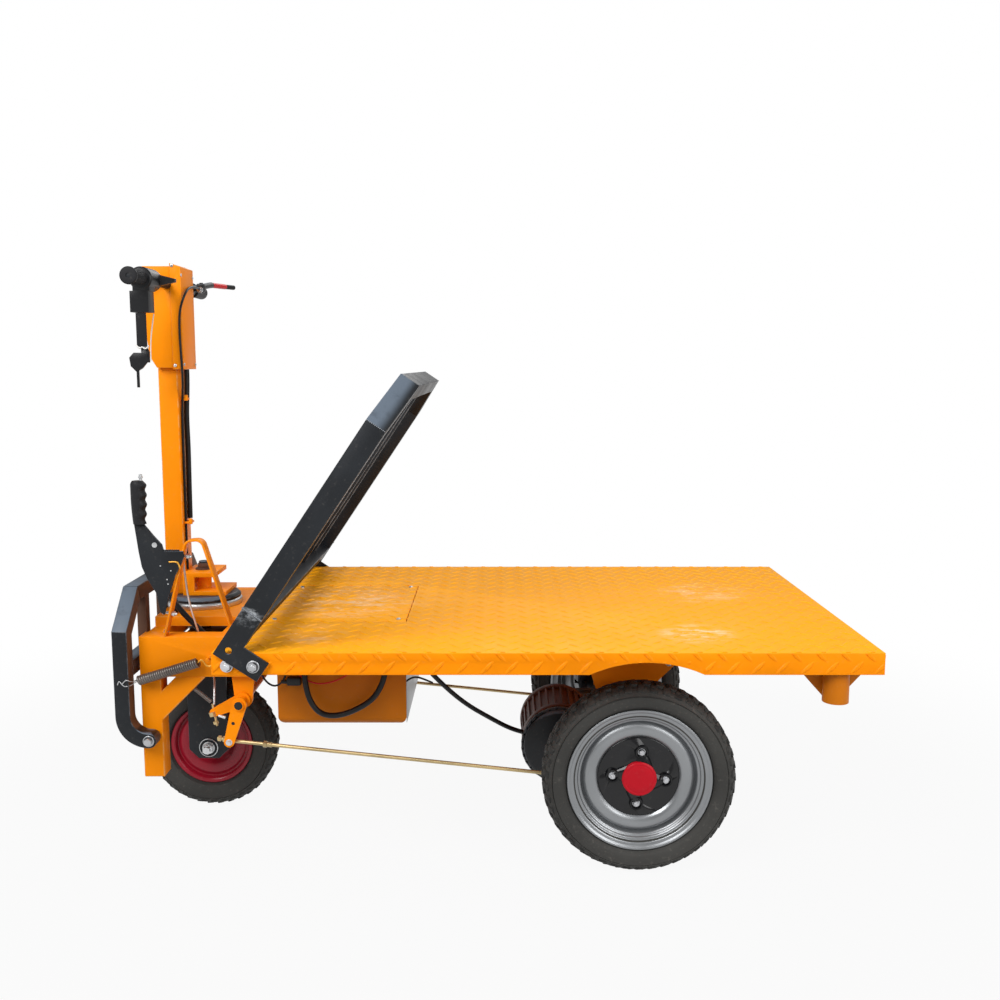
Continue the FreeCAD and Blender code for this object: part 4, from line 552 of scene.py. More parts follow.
def belt_plate(bm, circles, near, far, sides=28):
    """Add a plate shaped like a belt round (across, up, radius) circles, between two places along Y."""
    spots = []
    for across, up, radius in circles:
        for number in range(sides):
            turn = 2 * math.pi * number / sides
            rim = (across + radius * math.cos(turn), up + radius * math.sin(turn))
            spots += [bm.verts.new((rim[0], along, rim[1])) for along in (near, far)]
    made = bmesh.ops.convex_hull(bm, input=spots)
    spare = {item for item in made["geom_interior"] + made["geom_unused"]
             if isinstance(item, bmesh.types.BMVert)}
    bmesh.ops.delete(bm, geom=list(spare), context="VERTS")


def pan_screw(bm, spot, out, radius):
    """Add a low round-headed screw."""
    stand = facing(spot, out)
    turned(bm, [(0, 0), (radius, 0), (radius * 0.95, radius * 0.35), (radius * 0.6, radius * 0.6),
                (0, radius * 0.7)], 20, stand)


def weld(bm, start, end, radius, step=0.004):
    """Add a weld bead as a row of overlapping drops."""
    start, end = Vector(start), Vector(end)
    count = max(2, round((end - start).length / step))
    for number in range(count + 1):
        spot = start.lerp(end, number / count)
        size = radius * (0.85 + 0.15 * math.sin(number * 2.3))
        bmesh.ops.create_icosphere(bm, subdivisions=2, radius=size, matrix=Matrix.Translation(spot))


# ---- bed -----------------------------------------------------------------------------------------

# Raised bars of the tread plate, and how far they stay off its edges and its lid's gap.
BAR_PITCH = 0.0549
BAR_LENGTH = 0.043
BAR_WIDE = 0.0095
BAR_HIGH = 0.0018
BED_EDGE = 0.004
LID_GAP = 0.0015

# Strips of a folded skirt, each with its lowest and highest place and half the wheel arch's width there.
SKIRT_SHIFT = (-0.0065, 0.005)
SKIRT_STRIPS = ((0.5135, 0.525, 0.129), (0.525, 0.5385, 0.093), (0.5385, 0.558, 0.0))


def tread_bar(bm, across, along, lean):
    """Add one raised lens-shaped bar of the tread pattern."""
    stand = (Matrix.Translation((across, along, BAR_HIGH / 2)) @ Matrix.Rotation(math.radians(lean), 4, "Z")
             @ Matrix.Diagonal((BAR_LENGTH / 2, BAR_WIDE / 2, 1, 1)))
    bmesh.ops.create_cone(bm, cap_ends=True, segments=10, radius1=1.0, radius2=0.62, depth=BAR_HIGH,
                          matrix=stand)


def cut_off(bm, axis, edge, way):
    """Cut away what lies past a place on an axis, and close the cut."""
    normal, spot = Vector((0, 0, 0)), Vector((0, 0, 0))
    normal[axis], spot[axis] = way, edge
    everything = bm.verts[:] + bm.edges[:] + bm.faces[:]
    cut = bmesh.ops.bisect_plane(bm, geom=everything, dist=1e-6, plane_co=spot, plane_no=normal,
                                 clear_outer=True)["geom_cut"]
    bmesh.ops.edgeloop_fill(bm, edges=[item for item in cut if isinstance(item, bmesh.types.BMEdge)])


def tread_field(low, high):
    """Raised bars filling a rectangle of the sheet and cut off at its sides."""
    bm = bmesh.new()
    first = [math.floor(edge / BAR_PITCH) - 1 for edge in low]
    last = [math.ceil(edge / BAR_PITCH) + 1 for edge in high]
    tread_bar(bm, first[0] * BAR_PITCH, first[1] * BAR_PITCH, -45)
    tread_bar(bm, (first[0] + 0.5) * BAR_PITCH, (first[1] + 0.5) * BAR_PITCH, 45)
    for axis in (0, 1):
        row = bm.verts[:] + bm.edges[:] + bm.faces[:]
        for number in range(1, last[axis] - first[axis] + 1):
            step = Vector((0, 0, 0))
            step[axis] = number * BAR_PITCH
            made = bmesh.ops.duplicate(bm, geom=row)["geom"]
            verts = [item for item in made if isinstance(item, bmesh.types.BMVert)]
            bmesh.ops.translate(bm, vec=step, verts=verts)
    for axis in (0, 1):
        cut_off(bm, axis, low[axis], -1)
        cut_off(bm, axis, high[axis], 1)
    return bm


def joined(parts):
    """One bmesh from several, each with its stand."""
    whole = bmesh.new()
    for part, stand in parts:
        bmesh.ops.transform(part, matrix=stand, verts=part.verts)
        mesh = bpy.data.meshes.new("part")
        part.to_mesh(mesh)
        part.free()
        whole.from_mesh(mesh)
        bpy.data.meshes.remove(mesh)
    return whole


def top_bars():
    """The tread plate's raised bars on the top of the bed and on its lid."""
    lid_low, lid_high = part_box("battery_lid")
    front, rear, right, left = (DECK_FRONT + BED_EDGE, DECK_REAR - BED_EDGE, -DECK_HALF + BED_EDGE,
                                DECK_HALF - BED_EDGE)
    past_low = (lid_low[0] - LID_GAP, lid_low[1] - LID_GAP)
    past_high = (lid_high[0] + LID_GAP, lid_high[1] + LID_GAP)
    fields = [
        ((front, right), (rear, past_low[1])),
        ((front, past_high[1]), (rear, left)),
        ((front, past_low[1]), (past_low[0], past_high[1])),
        ((past_high[0], past_low[1]), (rear, past_high[1])),
        ((lid_low[0] + LID_GAP, lid_low[1] + LID_GAP), (lid_high[0] - LID_GAP, lid_high[1] - LID_GAP)),
    ]
    rest = Matrix.Translation((0, 0, DECK_TOP))
    finished(joined([(tread_field(low, high), rest) for low, high in fields]), "tread_bars_top", "chassis",
             "deck_paint")


def skirt_bars():
    """The raised bars on the folded skirts, kept clear of the wheel arches, and on the rear edge."""
    parts = []
    lay_up = Matrix.Rotation(math.pi / 2, 4, "X")
    arch_middle = PIVOT["right_wheel_roll"].x
    for side in SIDES.values():
        upright = Matrix.Translation((SKIRT_SHIFT[0], side * DECK_HALF, SKIRT_SHIFT[1])) @ lay_up
        if side > 0:
            upright = upright @ Matrix.Rotation(math.pi, 4, "Y")
        for low_up, high_up, arch in SKIRT_STRIPS:
            ends = (DECK_FRONT + BED_EDGE, arch_middle - arch, arch_middle + arch, DECK_REAR - BED_EDGE)
            for start, stop in ((ends[:2], ends[2:]) if arch else ((ends[0], ends[3]),)):
                start, stop = start - SKIRT_SHIFT[0], stop - SKIRT_SHIFT[0]
                low, high = (start, stop) if side < 0 else (-stop, -start)
                field = tread_field((low, low_up - SKIRT_SHIFT[1]), (high, high_up - SKIRT_SHIFT[1]))
                parts.append((field, upright))
    rear = Matrix.Translation((DECK_REAR, 0, 0)) @ Matrix.Rotation(math.pi / 2, 4, "Z") @ lay_up
    low, high = SKIRT_STRIPS[0][0], SKIRT_STRIPS[-1][1]
    parts.append((tread_field((-DECK_HALF + BED_EDGE, low), (DECK_HALF - BED_EDGE, high)), rear))
    finished(joined(parts), "tread_bars_skirt", "chassis", "orange_paint")


def lid_screws():
    """Round-headed screws at the corners of the battery's lid."""
    bm = bmesh.new()
    low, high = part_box("battery_lid")
    inset = 0.02
    for across in (low[0] + inset, high[0] - inset):
        for along in (low[1] + inset, high[1] - inset):
            pan_screw(bm, (across, along, DECK_TOP), Z, 0.006)
    finished(bm, "lid_screws", "chassis", "zinc_steel")


# ---- wheels --------------------------------------------------------------------------------------

def lug_ring(bm, middle, radius, count, size, start=0.0, along=0.0, lean=0.0, tilt=0.0):
    """Add a ring of (depth, length, wide) blocks round an axle, leaning and tilted down a shoulder."""
    depth, length = size[:2]
    reach = radius - depth / 2 - length / 2 * math.sin(abs(tilt))
    marked = rub_and_shade_layer(bm)
    first = len(bm.faces)
    for number in range(count):
        angle = math.radians(start + number * 360 / count)
        spot = Vector(middle) + Vector((math.cos(angle), 0, math.sin(angle))) * reach
        spot.y += along
        stand = (Matrix.Translation(spot) @ Matrix.Rotation(-angle, 4, "Y") @ Matrix.Rotation(lean, 4, "X")
                 @ Matrix.Rotation(tilt, 4, "Z"))
        block(bm, size, stand, 0.0022)
    # On the tyres this mark paints the blocks darker, as painted shade in the gaps between them; on the
    # motor's teeth it marks rubbed edges.
    mark_from(bm, marked, first, 0.7)


def tyre(name, node, middle, radius, width, bead, edge, rim, count, relief):
    """A pneumatic tyre with a round shoulder, one fine ring on each sidewall and four rows of blocks."""
    half = width / 2
    waist = (edge + radius) / 2
    side = [(rim / 2 - 0.001, bead), (rim / 2, edge + 0.0008), (half - 0.006, edge + 0.005),
            (half - 0.0022, edge + 0.012), (half - 0.0005, waist - 0.004), (half, waist + 0.004),
            (half - 0.0004, radius - 0.0245), (half - 0.0022, radius - 0.0232), (half, radius - 0.0216),
            (half - 0.003, radius - 0.0206), (half - 0.0046, radius - 0.0185),
            (half - 0.009, radius - 0.0125 - relief / 3), (half - 0.015, radius - 0.0062 - relief / 2),
            (half - 0.022, radius - 0.002 - relief), (half - 0.03, radius - relief)]
    profile = side + [(-along, far) for along, far in reversed(side)]
    carcass = spun(profile, 128, middle)
    pitch = 2 * math.pi * radius / count
    for way in SIDES.values():
        lug_ring(carcass, middle, radius, count, (0.015, 0.026, pitch * 0.56), 90, way * (half - 0.0215),
                 way * 0.12, way * 0.42)
        lug_ring(carcass, middle, radius, count, (0.012, 0.0175, pitch * 0.6), 90 + 180 / count,
                 way * 0.0105, way * 0.3)
    finished(carcass, name, BODY_OF[node], "tyre_rubber", stands_for=[node], crease=40)


def drive_rim(side_name, out):
    """Pressed two-piece rim of a driven wheel: rolled flange, groove, dish and back, with its brake drum."""
    middle = PIVOT[side_name + "_wheel_roll"]
    face = [(0.034, 0.172), (0.0364, 0.1712), (0.0373, 0.169), (0.0364, 0.166), (0.0335, 0.1635),
            (0.0322, 0.161), (0.0318, 0.1575), (0.03, 0.1548), (0.0268, 0.153), (0.0252, 0.1515),
            (0.0246, 0.1485), (0.0236, 0.1462), (0.0205, 0.1448), (0.0186, 0.1435), (0.018, 0.1405),
            (0.0165, 0.1385), (0.011, 0.1372), (0.006, 0.1364), (0.0046, 0.1352), (0.0058, 0.1338),
            (0.0096, 0.1318), (0.0132, 0.1285), (0.0156, 0.124), (0.0168, 0.118), (0.0166, 0.111),
            (0.0148, 0.1045), (0.0115, 0.0995), (0.008, 0.097), (0.006, 0.094), (0.006, 0.052)]
    back = [(0.003, 0.052), (0.003, 0.094), (0.0055, 0.0985), (0.0095, 0.102), (0.013, 0.108),
            (0.0136, 0.118), (0.0122, 0.1235), (0.0095, 0.1275), (0.005, 0.1305), (0.0015, 0.134),
            (0.0015, 0.1375), (0.004, 0.14), (-0.031, 0.145), (-0.0345, 0.15), (-0.0365, 0.16),
            (-0.036, 0.17), (-0.034, 0.172), (-0.0315, 0.1715), (-0.032, 0.156), (-0.03, 0.152),
            (0.0225, 0.1525), (0.0275, 0.157), (0.03, 0.162), (0.031, 0.1715)]
    node = "drive_rim_" + side_name
    stand_in(spun(face + back, 144, middle, out), node, "silver_paint", crease=50)
    drum = spun([(0.003, 0.05), (0.0028, 0.082), (0.001, 0.084), (-0.043, 0.084), (-0.044, 0.083),
                 (-0.044, 0.078), (-0.006, 0.078), (-0.006, 0.034), (-0.03, 0.034), (-0.03, 0.0152),
                 (0.006, 0.0152), (0.006, 0.05)], 96, middle, out)
    finished(drum, "brake_drum_" + side_name, BODY_OF[node], "black_paint")


# Where the four wheel nuts stand round an axle.
STUD_CIRCLE = 0.063
STUD_ANGLES = (-5, 85, 175, 265)


def swirl_arm(bm, middle, out, start):
    """Add one raised arm of the hub cover, which curls from the cap out to the edge past its nut."""
    made = bmesh.ops.create_grid(bm, x_segments=12, y_segments=5, size=1.0)
    low, high = 0.038, 0.0945
    for vert in made["verts"]:
        share = (vert.co.x + 1) / 2
        across = vert.co.y
        radius = low + (high - low) * share
        width = 0.0135 + 0.018 * abs(2 * share - 0.85) ** 1.6
        bend = math.radians(start) + 0.62 * (share - 0.45) * (1 if out < 0 else -1)
        angle = bend + across * width / radius
        lift = 0.0215 - 0.0125 * share - 0.0075 * across ** 2
        vert.co = Vector((middle[0] + radius * math.cos(angle), middle[1] + out * (0.004 + lift),
                          middle[2] + radius * math.sin(angle)))
    ridge = [face for face in bm.faces if any(vert in made["verts"] for vert in face.verts)]
    walls = bmesh.ops.extrude_face_region(bm, geom=ridge)["geom"]
    sunk = [item for item in walls if isinstance(item, bmesh.types.BMVert)]
    bmesh.ops.translate(bm, vec=(0, -out * 0.007, 0), verts=sunk)


def hub_cover(side_name, out):
    """Black hub cover with four curled arms, a well round each nut and a plain red cap."""
    middle = PIVOT[side_name + "_wheel_roll"]
    node = "hub_cover_" + side_name
    body = BODY_OF[node]
    dish = spun([(0.0062, 0.0), (0.0062, 0.0968), (0.0082, 0.097), (0.0098, 0.0962), (0.0104, 0.094),
                 (0.01, 0.09), (0.0115, 0.07), (0.016, 0.05), (0.018, 0.04), (0.018, 0.0)],
                120, middle, out, closed=False)
    stand_in(dish, node, "gloss_black", crease=50)
    arms, wells, nuts = bmesh.new(), bmesh.new(), bmesh.new()
    for angle in STUD_ANGLES:
        turn = math.radians(angle if out < 0 else 180 - angle)
        spot = Vector(middle) + STUD_CIRCLE * Vector((math.cos(turn), 0, math.sin(turn)))
        swirl_arm(arms, middle, out, math.degrees(turn))
        seat = facing(spot + Vector((0, out * 0.006, 0)), (0, out, 0))
        turned(wells, [(0, 0.0105), (0.0112, 0.0108), (0.0125, 0.0165), (0.0145, 0.0172), (0.016, 0.015),
                       (0.017, 0.006)], 32, seat)
        hex_bolt(nuts, spot + Vector((0, out * 0.0165, 0)), (0, out, 0), 0.0062, nut=True)
    for bm in (arms, wells):
        bmesh.ops.recalc_face_normals(bm, faces=bm.faces)
    finished(arms, "cover_arms_" + side_name, body, "gloss_black", crease=40)
    finished(wells, "nut_wells_" + side_name, body, "gloss_black")
    finished(nuts, "wheel_nuts_" + side_name, body, "dull_zinc")
    cap = spun([(0.018, 0.0412), (0.025, 0.0412), (0.0275, 0.0405), (0.029, 0.0385), (0.0292, 0.035),
                (0.0288, 0.034), (0.0292, 0.033), (0.0298, 0.02), (0.03, 0.0)], 72, middle, out,
               closed=False)
    finished(cap, "hub_cap_" + side_name, body, "cap_red")


def steered_wheel():
    """Dark red dished rim and its hub in the fork."""
    rim = spun([(0.027, 0.11), (0.0285, 0.1108), (0.0302, 0.11), (0.0308, 0.108), (0.03, 0.104),
                (0.0285, 0.1005), (0.025, 0.0985), (0.0215, 0.0975), (0.015, 0.0965), (0.0142, 0.094),
                (0.017, 0.089), (0.0198, 0.085), (0.0202, 0.08), (0.02, 0.064), (0.018, 0.06),
                (0.006, 0.051), (0.004, 0.048), (0.004, 0.03), (-0.004, 0.03), (-0.004, 0.052),
                (0.012, 0.062), (0.014, 0.066), (0.014, 0.082), (0.008, 0.093), (-0.021, 0.096),
                (-0.0285, 0.1), (-0.0308, 0.108), (-0.029, 0.1108), (-0.027, 0.11), (-0.0272, 0.102),
                (0.0272, 0.102)], 120, STEER_AXLE)
    stand_in(rim, "steer_rim", "red_paint", crease=50)
    half = [(0.049, 0.02), (0.014, 0.0235), (0.012, 0.024), (0.005, 0.03)]
    hub = spun([(-0.051, 0.0092), (0.051, 0.0092), (0.051, 0.019)] + half
               + [(-along, radius) for along, radius in reversed(half)] + [(-0.051, 0.019)], 64, STEER_AXLE)
    finished(hub, "steer_hub", "steered_wheel", "red_paint")


def axle_nuts():
    """Steered axle with a castle nut, split pin and seat ring at each end."""
    bm = bmesh.new()
    reach = Vector((0, 0.086, 0))
    bar_between(bm, STEER_AXLE - reach, STEER_AXLE + reach, 0.009, 32)
    for out in SIDES.values():
        seat = STEER_AXLE + Vector((0, out * 0.0605, 0))
        stand = facing(seat, (0, out, 0))
        turned(bm, [(0.0232, 0), (0.0254, 0), (0.0254, 0.0016), (0.0246, 0.0024), (0.0236, 0.0022),
                    (0.0232, 0)], 48, stand)
        disc(bm, 0.0165, 0.0022, 36, stand, dome=0.0004)
        hexagon(bm, 0.0155, 0.01, 0.001, stand @ Matrix.Translation((0, 0, 0.0026)))
        for number in range(6):
            turn = Matrix.Rotation(math.radians(60 * number + 30), 4, "Z")
            block(bm, (0.0055, 0.0052, 0.006), stand @ turn @ Matrix.Translation((0.0095, 0, 0.015)), 0.0006)
        pin = seat + Vector((0, out * 0.0165, 0))
        bar_between(bm, pin + Vector((0.015, 0, 0.009)), pin - Vector((0.012, 0, 0.008)), 0.0014, 8)
    stand_in(bm, "steer_axle", "zinc_steel")


# ---- fasteners and welds -------------------------------------------------------------------------

# Places of bolts in the middle plane, and the outer face of the bed's rails.
RACK_STOP = Vector((-0.5581, 0, 0.5315))
HANGER_BOLTS = (Vector((0.462, 0, 0.475)), Vector((0.294, 0, 0.475)))
RAIL_FACE = 0.285


def across_to(spot, side):
    """The same place moved along Y to a side."""
    return Vector((spot.x, side, spot.z))


def pivot_bolts():
    """Pivot and stop bolts of the rack, pivot bolts of the pedal and the bolts of the axle's hangers."""
    bolts = bmesh.new()
    for out in SIDES.values():
        outward = (0, out, 0)
        for spot, inside, face, end, radius, more in (
                (RACK_PIVOT, 0.482, 0.5113, 0.512, 0.0098, {"nut": True, "tall": 0.45}),
                (RACK_STOP, 0.482, 0.503, 0.504, 0.0098, {"nut": True}),
                (PEDAL_PIVOT, RAIL_FACE, 0.3273, 0.3275, 0.0094, {})):
            hex_bolt(bolts, across_to(spot, out * face), outward, radius, **more)
            bar_between(bolts, across_to(spot, out * inside), across_to(spot, out * end), 0.008)
        for spot in HANGER_BOLTS:
            hex_bolt(bolts, across_to(spot, out * RAIL_FACE), outward, 0.0055)
    stand_in(bolts, "pivot_bolts", "dull_zinc")


def king_nut():
    """Nut and threaded end of the steering's king pin, in bare primer."""
    nut = bmesh.new()
    seat = Vector((PIVOT["steering_turn"].x, 0, 0.652))
    hex_bolt(nut, seat + Vector((0, 0, 0.0003)), Z, 0.0155, washer=0.003)
    bar_between(nut, seat, seat + Vector((0, 0, 0.022)), 0.0105, 24)
    stand_in(nut, "king_nut", "primer_brown")


def rack_welds():
    """Weld beads where each side bar of the rack meets its bracket and its cut corner."""
    bm = bmesh.new()
    along = Vector((math.cos(RACK_ANGLE), 0, math.sin(RACK_ANGLE)))
    up = Vector((-math.sin(RACK_ANGLE), 0, math.cos(RACK_ANGLE)))
    for out in SIDES.values():
        face = RACK_PIVOT + Vector((0, out * 0.5112, 0))
        for low, high, radius in (((0.098, 0.041), (0.1, 0.089), 0.003),
                                  ((0.599, 0.042), (0.599, 0.088), 0.0016)):
            weld(bm, face + along * low[0] + up * low[1], face + along * high[0] + up * high[1], radius)
    finished(bm, "rack_welds", "rack", "weld_bead")


# ---- springs and linkage -------------------------------------------------------------------------

def wire_line(name, points, radius, body, finish, slot=None, **smoothness):
    """A bent wire or rod along a smooth line."""
    piece = rounded_line(name, points, radius, **smoothness)
    piece.data.materials.append(FINISHES[finish])
    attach(piece, body)
    return piece


def coil_between(name, start, end, radius, wire, turns):
    """A close-wound spring of the frame between two points, its wire following a helix."""
    start, end = Vector(start), Vector(end)
    stand = facing(start, end - start)
    length = (end - start).length
    steps = turns * 14
    points = []
    for number in range(steps + 1):
        angle = 2 * math.pi * turns * number / steps
        points.append(stand @ Vector((radius * math.cos(angle), radius * math.sin(angle),
                                      length * number / steps)))
    return wire_line(name, points, wire, "chassis", "spring_steel", steps=2, roundness=2)


# Bent wires between a spring and the pedal, and the hook at the frame.
PEDAL_WIRES = (
    ((-0.8677, 0.3292, 0.4333), (-0.866, 0.3292, 0.44), (-0.8629, 0.3292, 0.4425), (-0.859, 0.3292, 0.437),
     (-0.853, 0.3292, 0.43), (-0.847, 0.328, 0.429), (-0.84, 0.32, 0.429), (-0.833, 0.31, 0.432),
     (-0.826, 0.308, 0.438)),
    ((-0.856, 0.3292, 0.436), (-0.85, 0.3292, 0.444), (-0.844, 0.3292, 0.445), (-0.839, 0.324, 0.44),
     (-0.833, 0.312, 0.437), (-0.826, 0.308, 0.44)),
)
SPRING_HOOK = ((-0.6802, 0.4816), (-0.674, 0.488), (-0.669, 0.4895), (-0.664, 0.484), (-0.658, 0.4735),
               (-0.648, 0.474), (-0.6425, 0.48), (-0.643, 0.492), (-0.65, 0.497))


def pedal_springs():
    """Pedal's pull springs, with the bent wires at the pedal and the hook at the frame."""
    for name, out in SIDES.items():
        spring = coil_between("pedal_spring_" + name, (-0.824, out * 0.308, 0.4374),
                              (-0.679, out * 0.308, 0.4826), 0.0098, 0.003, 28)
        if name == "right":
            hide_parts("pedal_springs")
        for number, line in enumerate(PEDAL_WIRES):
            points = [(across, out * along, up) for across, along, up in line]
            wire_line(f"pedal_wire_{name}_{number}", points, 0.0014, "chassis", "zinc_steel")
        wire_line("spring_hook_" + name, [(across, out * 0.3085, up) for across, up in SPRING_HOOK], 0.0021,
                  "chassis", "gold_zinc", "yellow_zinc")


# The brake's cross shaft seen from the side: its middle, and the eyes and hole of its arms.
SHAFT = (-0.582, 0.378)
ROD_EYE = (-0.609, 0.284)
CABLE_END = (-0.654, 0.346)
LEVER_HOLE = (-0.5975, 0.332)

# Places across the cart: the shaft's end, its levers' faces, the cable and the two faces of the cable's arm.
SHAFT_HALF = 0.32
LEVER_FACES = (0.306, 0.314)
CABLE_SIDE = -0.272
ARM_FACES = (-0.276, -0.268)

# Adjusters and clevises of the rods: side, start and end seen from the side, radius and number of faces.
ROD_FITTINGS = (
    (0.3015, (-0.528, 0.2757), (-0.52, 0.2749), 0.0085, 6),
    (0.3015, (-0.52, 0.2749), (-0.508, 0.2736), 0.0062, 16),
    (0.3012, (-0.64, 0.2905), (-0.58, 0.2812), 0.004, 16),
    (0.3012, (-0.638, 0.2902), (-0.631, 0.2891), 0.0075, 6),
    (0.3012, (-0.626, 0.2883), (-0.619, 0.2872), 0.0075, 6),
)


def crank_shaft():
    """Cross shaft of the brake with a tapered lever at each end, the cable's arm and the two hangers."""
    shaft, hangers = bmesh.new(), bmesh.new()
    bar_between(shaft, (SHAFT[0], -SHAFT_HALF, SHAFT[1]), (SHAFT[0], SHAFT_HALF, SHAFT[1]), 0.012, 32)
    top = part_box("brake_hangers")[1][2] - 0.003
    corners = [(SHAFT[0] + way * 0.025, top, 0.003) for way in (-1, 1)]
    for out in SIDES.values():
        belt_plate(shaft, [(*SHAFT, 0.018), (*ROD_EYE, 0.0125)], *(out * face for face in LEVER_FACES))
        belt_plate(hangers, [(*SHAFT, 0.022)] + corners, out * 0.258, out * 0.266)
    belt_plate(shaft, [(*SHAFT, 0.018), (*CABLE_END, 0.0105)], *ARM_FACES)
    for bm, node in ((shaft, "brake_shaft"), (hangers, "brake_hangers")):
        bmesh.ops.recalc_face_normals(bm, faces=bm.faces)
        stand_in(bm, node, "orange_paint", crease=30)


def brake_links():
    """Adjusters, clevis, pins and the return spring of the brake linkage, with dark discs painted as the
    shade inside the shaft's ends and the levers' holes.
    """
    yellow, bright, dark = bmesh.new(), bmesh.new(), bmesh.new()
    for out in SIDES.values():
        outward = (0, out, 0)
        face = out * LEVER_FACES[1]
        for side, start, end, radius, sides in ROD_FITTINGS:
            bar_between(yellow, (start[0], out * side, start[1]), (end[0], out * side, end[1]), radius, sides)
        hex_bolt(bright, (ROD_EYE[0], face, ROD_EYE[1]), outward, 0.0055, washer=0.0008)
        # Painted shade: dark discs on the shaft's ends and on the levers' holes stand for the shade inside
        # them.
        disc(dark, 0.01, 0.0004, 32, facing((SHAFT[0], out * SHAFT_HALF, SHAFT[1]), outward))
        disc(dark, 0.004, 0.0004, 20, facing((LEVER_HOLE[0], face, LEVER_HOLE[1]), outward))
    near = ARM_FACES[0]
    bar_between(yellow, (-0.658, CABLE_SIDE, 0.368), (-0.648, CABLE_SIDE, 0.312), 0.003, 12)
    bar_between(yellow, (-0.659, near, 0.348), (-0.6565, near, 0.338), 0.008, 6)
    bar_between(yellow, (-0.6505, near, 0.324), (-0.649, near, 0.318), 0.0068, 6)
    bar_between(bright, (-0.642, -0.279, 0.34), (-0.625, -0.279, 0.335), 0.0035, 12)
    finished(yellow, "brake_adjusters", "chassis", "yellow_zinc")
    finished(bright, "link_pins", "chassis", "zinc_steel")
    finished(dark, "crank_hole_shade", "chassis", "gloss_black")
    coil_between("return_spring", (-0.7, near, 0.408), (-0.66, near, 0.374), 0.0042, 0.001, 22)


# ---- hand brake ----------------------------------------------------------------------------------

GRIP_FOOT = Vector((-0.811, -0.2878, 0.818))
GRIP_HIGH = 0.104
GRIP_RADIUS = 0.0188
GRIP_ROWS = 48
GROOVE_DEPTH = 0.0042

# Places across the cart of the brake plate's outer face, the middle of its feet and its hook.
PLATE_FACE = -0.2903
FOOT_SIDE = -0.272
HOOK_SIDE = -0.2925


def brake_grip():
    """Barrel-shaped rubber grip with four finger grooves behind, and its button on top."""
    grip = bmesh.new()
    profile = []
    for row in range(GRIP_ROWS + 1):
        share = row / GRIP_ROWS
        swell = 0.8 + 0.2 * math.sin(math.pi * min(1.0, share * 1.5 + 0.06) * 0.5)
        swell *= 1.0 - 0.24 * max(0.0, (share - 0.9) / 0.1) ** 2
        profile.append((GRIP_RADIUS * swell, GRIP_HIGH * share))
    turned(grip, profile, 32, Matrix.Identity(4))
    bmesh.ops.holes_fill(grip, edges=grip.edges, sides=0)
    for vert in grip.verts:
        groove = 0.5 - 0.5 * math.cos(2 * math.pi * 4.5 * vert.co.z / GRIP_HIGH)
        radius = vert.co.xy.length
        turn = math.atan2(vert.co.y, vert.co.x)
        radius -= GROOVE_DEPTH * groove * max(0.0, math.cos(turn))
        vert.co = GRIP_FOOT + Vector((radius * math.cos(turn), radius * 0.9 * math.sin(turn), vert.co.z))
    bmesh.ops.recalc_face_normals(grip, faces=grip.faces)
    stand_in(grip, "brake_grip", "black_rubber", crease=50)
    button = bmesh.new()
    stand = Matrix.Translation((-0.805, GRIP_FOOT.y, GRIP_FOOT.z + GRIP_HIGH))
    turned(button, [(0, 0), (0.0036, 0), (0.0036, 0.006), (0.0054, 0.0066), (0.0054, 0.0098),
                    (0.004, 0.0104), (0.004, 0.015), (0, 0.0158)], 24, stand)
    finished(button, "brake_button", "chassis", "zinc_steel")


def long_bolt(bm, start, end, radius):
    """Add a bolt that lies along its line, with a head at one end and a nut near the other."""
    start, end = Vector(start), Vector(end)
    way = (end - start).normalized()
    bar_between(bm, start, end, radius)
    bar_between(bm, start, start + way * radius * 1.5, radius * 2.0, 6)
    bar_between(bm, end - way * radius * 3.4, end - way * radius * 1.4, radius * 2.0, 6)


def hand_brake():
    """Rivet, bolts, small marks, ratchet teeth and the yellow hook of the hand brake."""
    bright = bmesh.new()
    turned(bright, [(0, 0), (0.0065, 0), (0.0062, 0.0012), (0, 0.0018)], 24,
           facing((-0.7776, PLATE_FACE, 0.7672), (0, -1, 0)))
    long_bolt(bright, (-0.73, FOOT_SIDE, 0.7406), (-0.695, FOOT_SIDE, 0.735), 0.0034)
    long_bolt(bright, (-0.77, FOOT_SIDE, 0.5985), (-0.736, FOOT_SIDE, 0.5935), 0.0034)
    for across, up in ((-0.7656, 0.7164), (-0.741, 0.7045), (-0.751, 0.683), (-0.749, 0.672)):
        disc(bright, 0.0016, 0.0003, 12, facing((across, PLATE_FACE, up), (0, -1, 0)))
    for across in (-0.765, -0.596):
        hex_bolt(bright, (across, -0.27, 0.5482), Z, 0.0045)
    finished(bright, "hand_brake_bolts", "chassis", "zinc_steel")
    teeth = bmesh.new()
    for number in range(8):
        across = -0.7566 + 0.005 * number
        bar_between(teeth, (across, PLATE_FACE, 0.7535), (across, PLATE_FACE + 0.005, 0.7535), 0.0022, 12)
    finished(teeth, "ratchet_teeth", "chassis", "black_paint")
    hook = [(across, HOOK_SIDE, up) for across, up in (
        (-0.744, 0.7262), (-0.736, 0.7268), (-0.726, 0.7265), (-0.721, 0.723), (-0.718, 0.711))]
    wire_line("brake_hook", hook, 0.0019, "chassis", "gold_zinc", "yellow_zinc")


# ---- post and controls ---------------------------------------------------------------------------

# Heights of the cable ties on the post.
TIE_HEIGHTS = (1.107, 0.781)


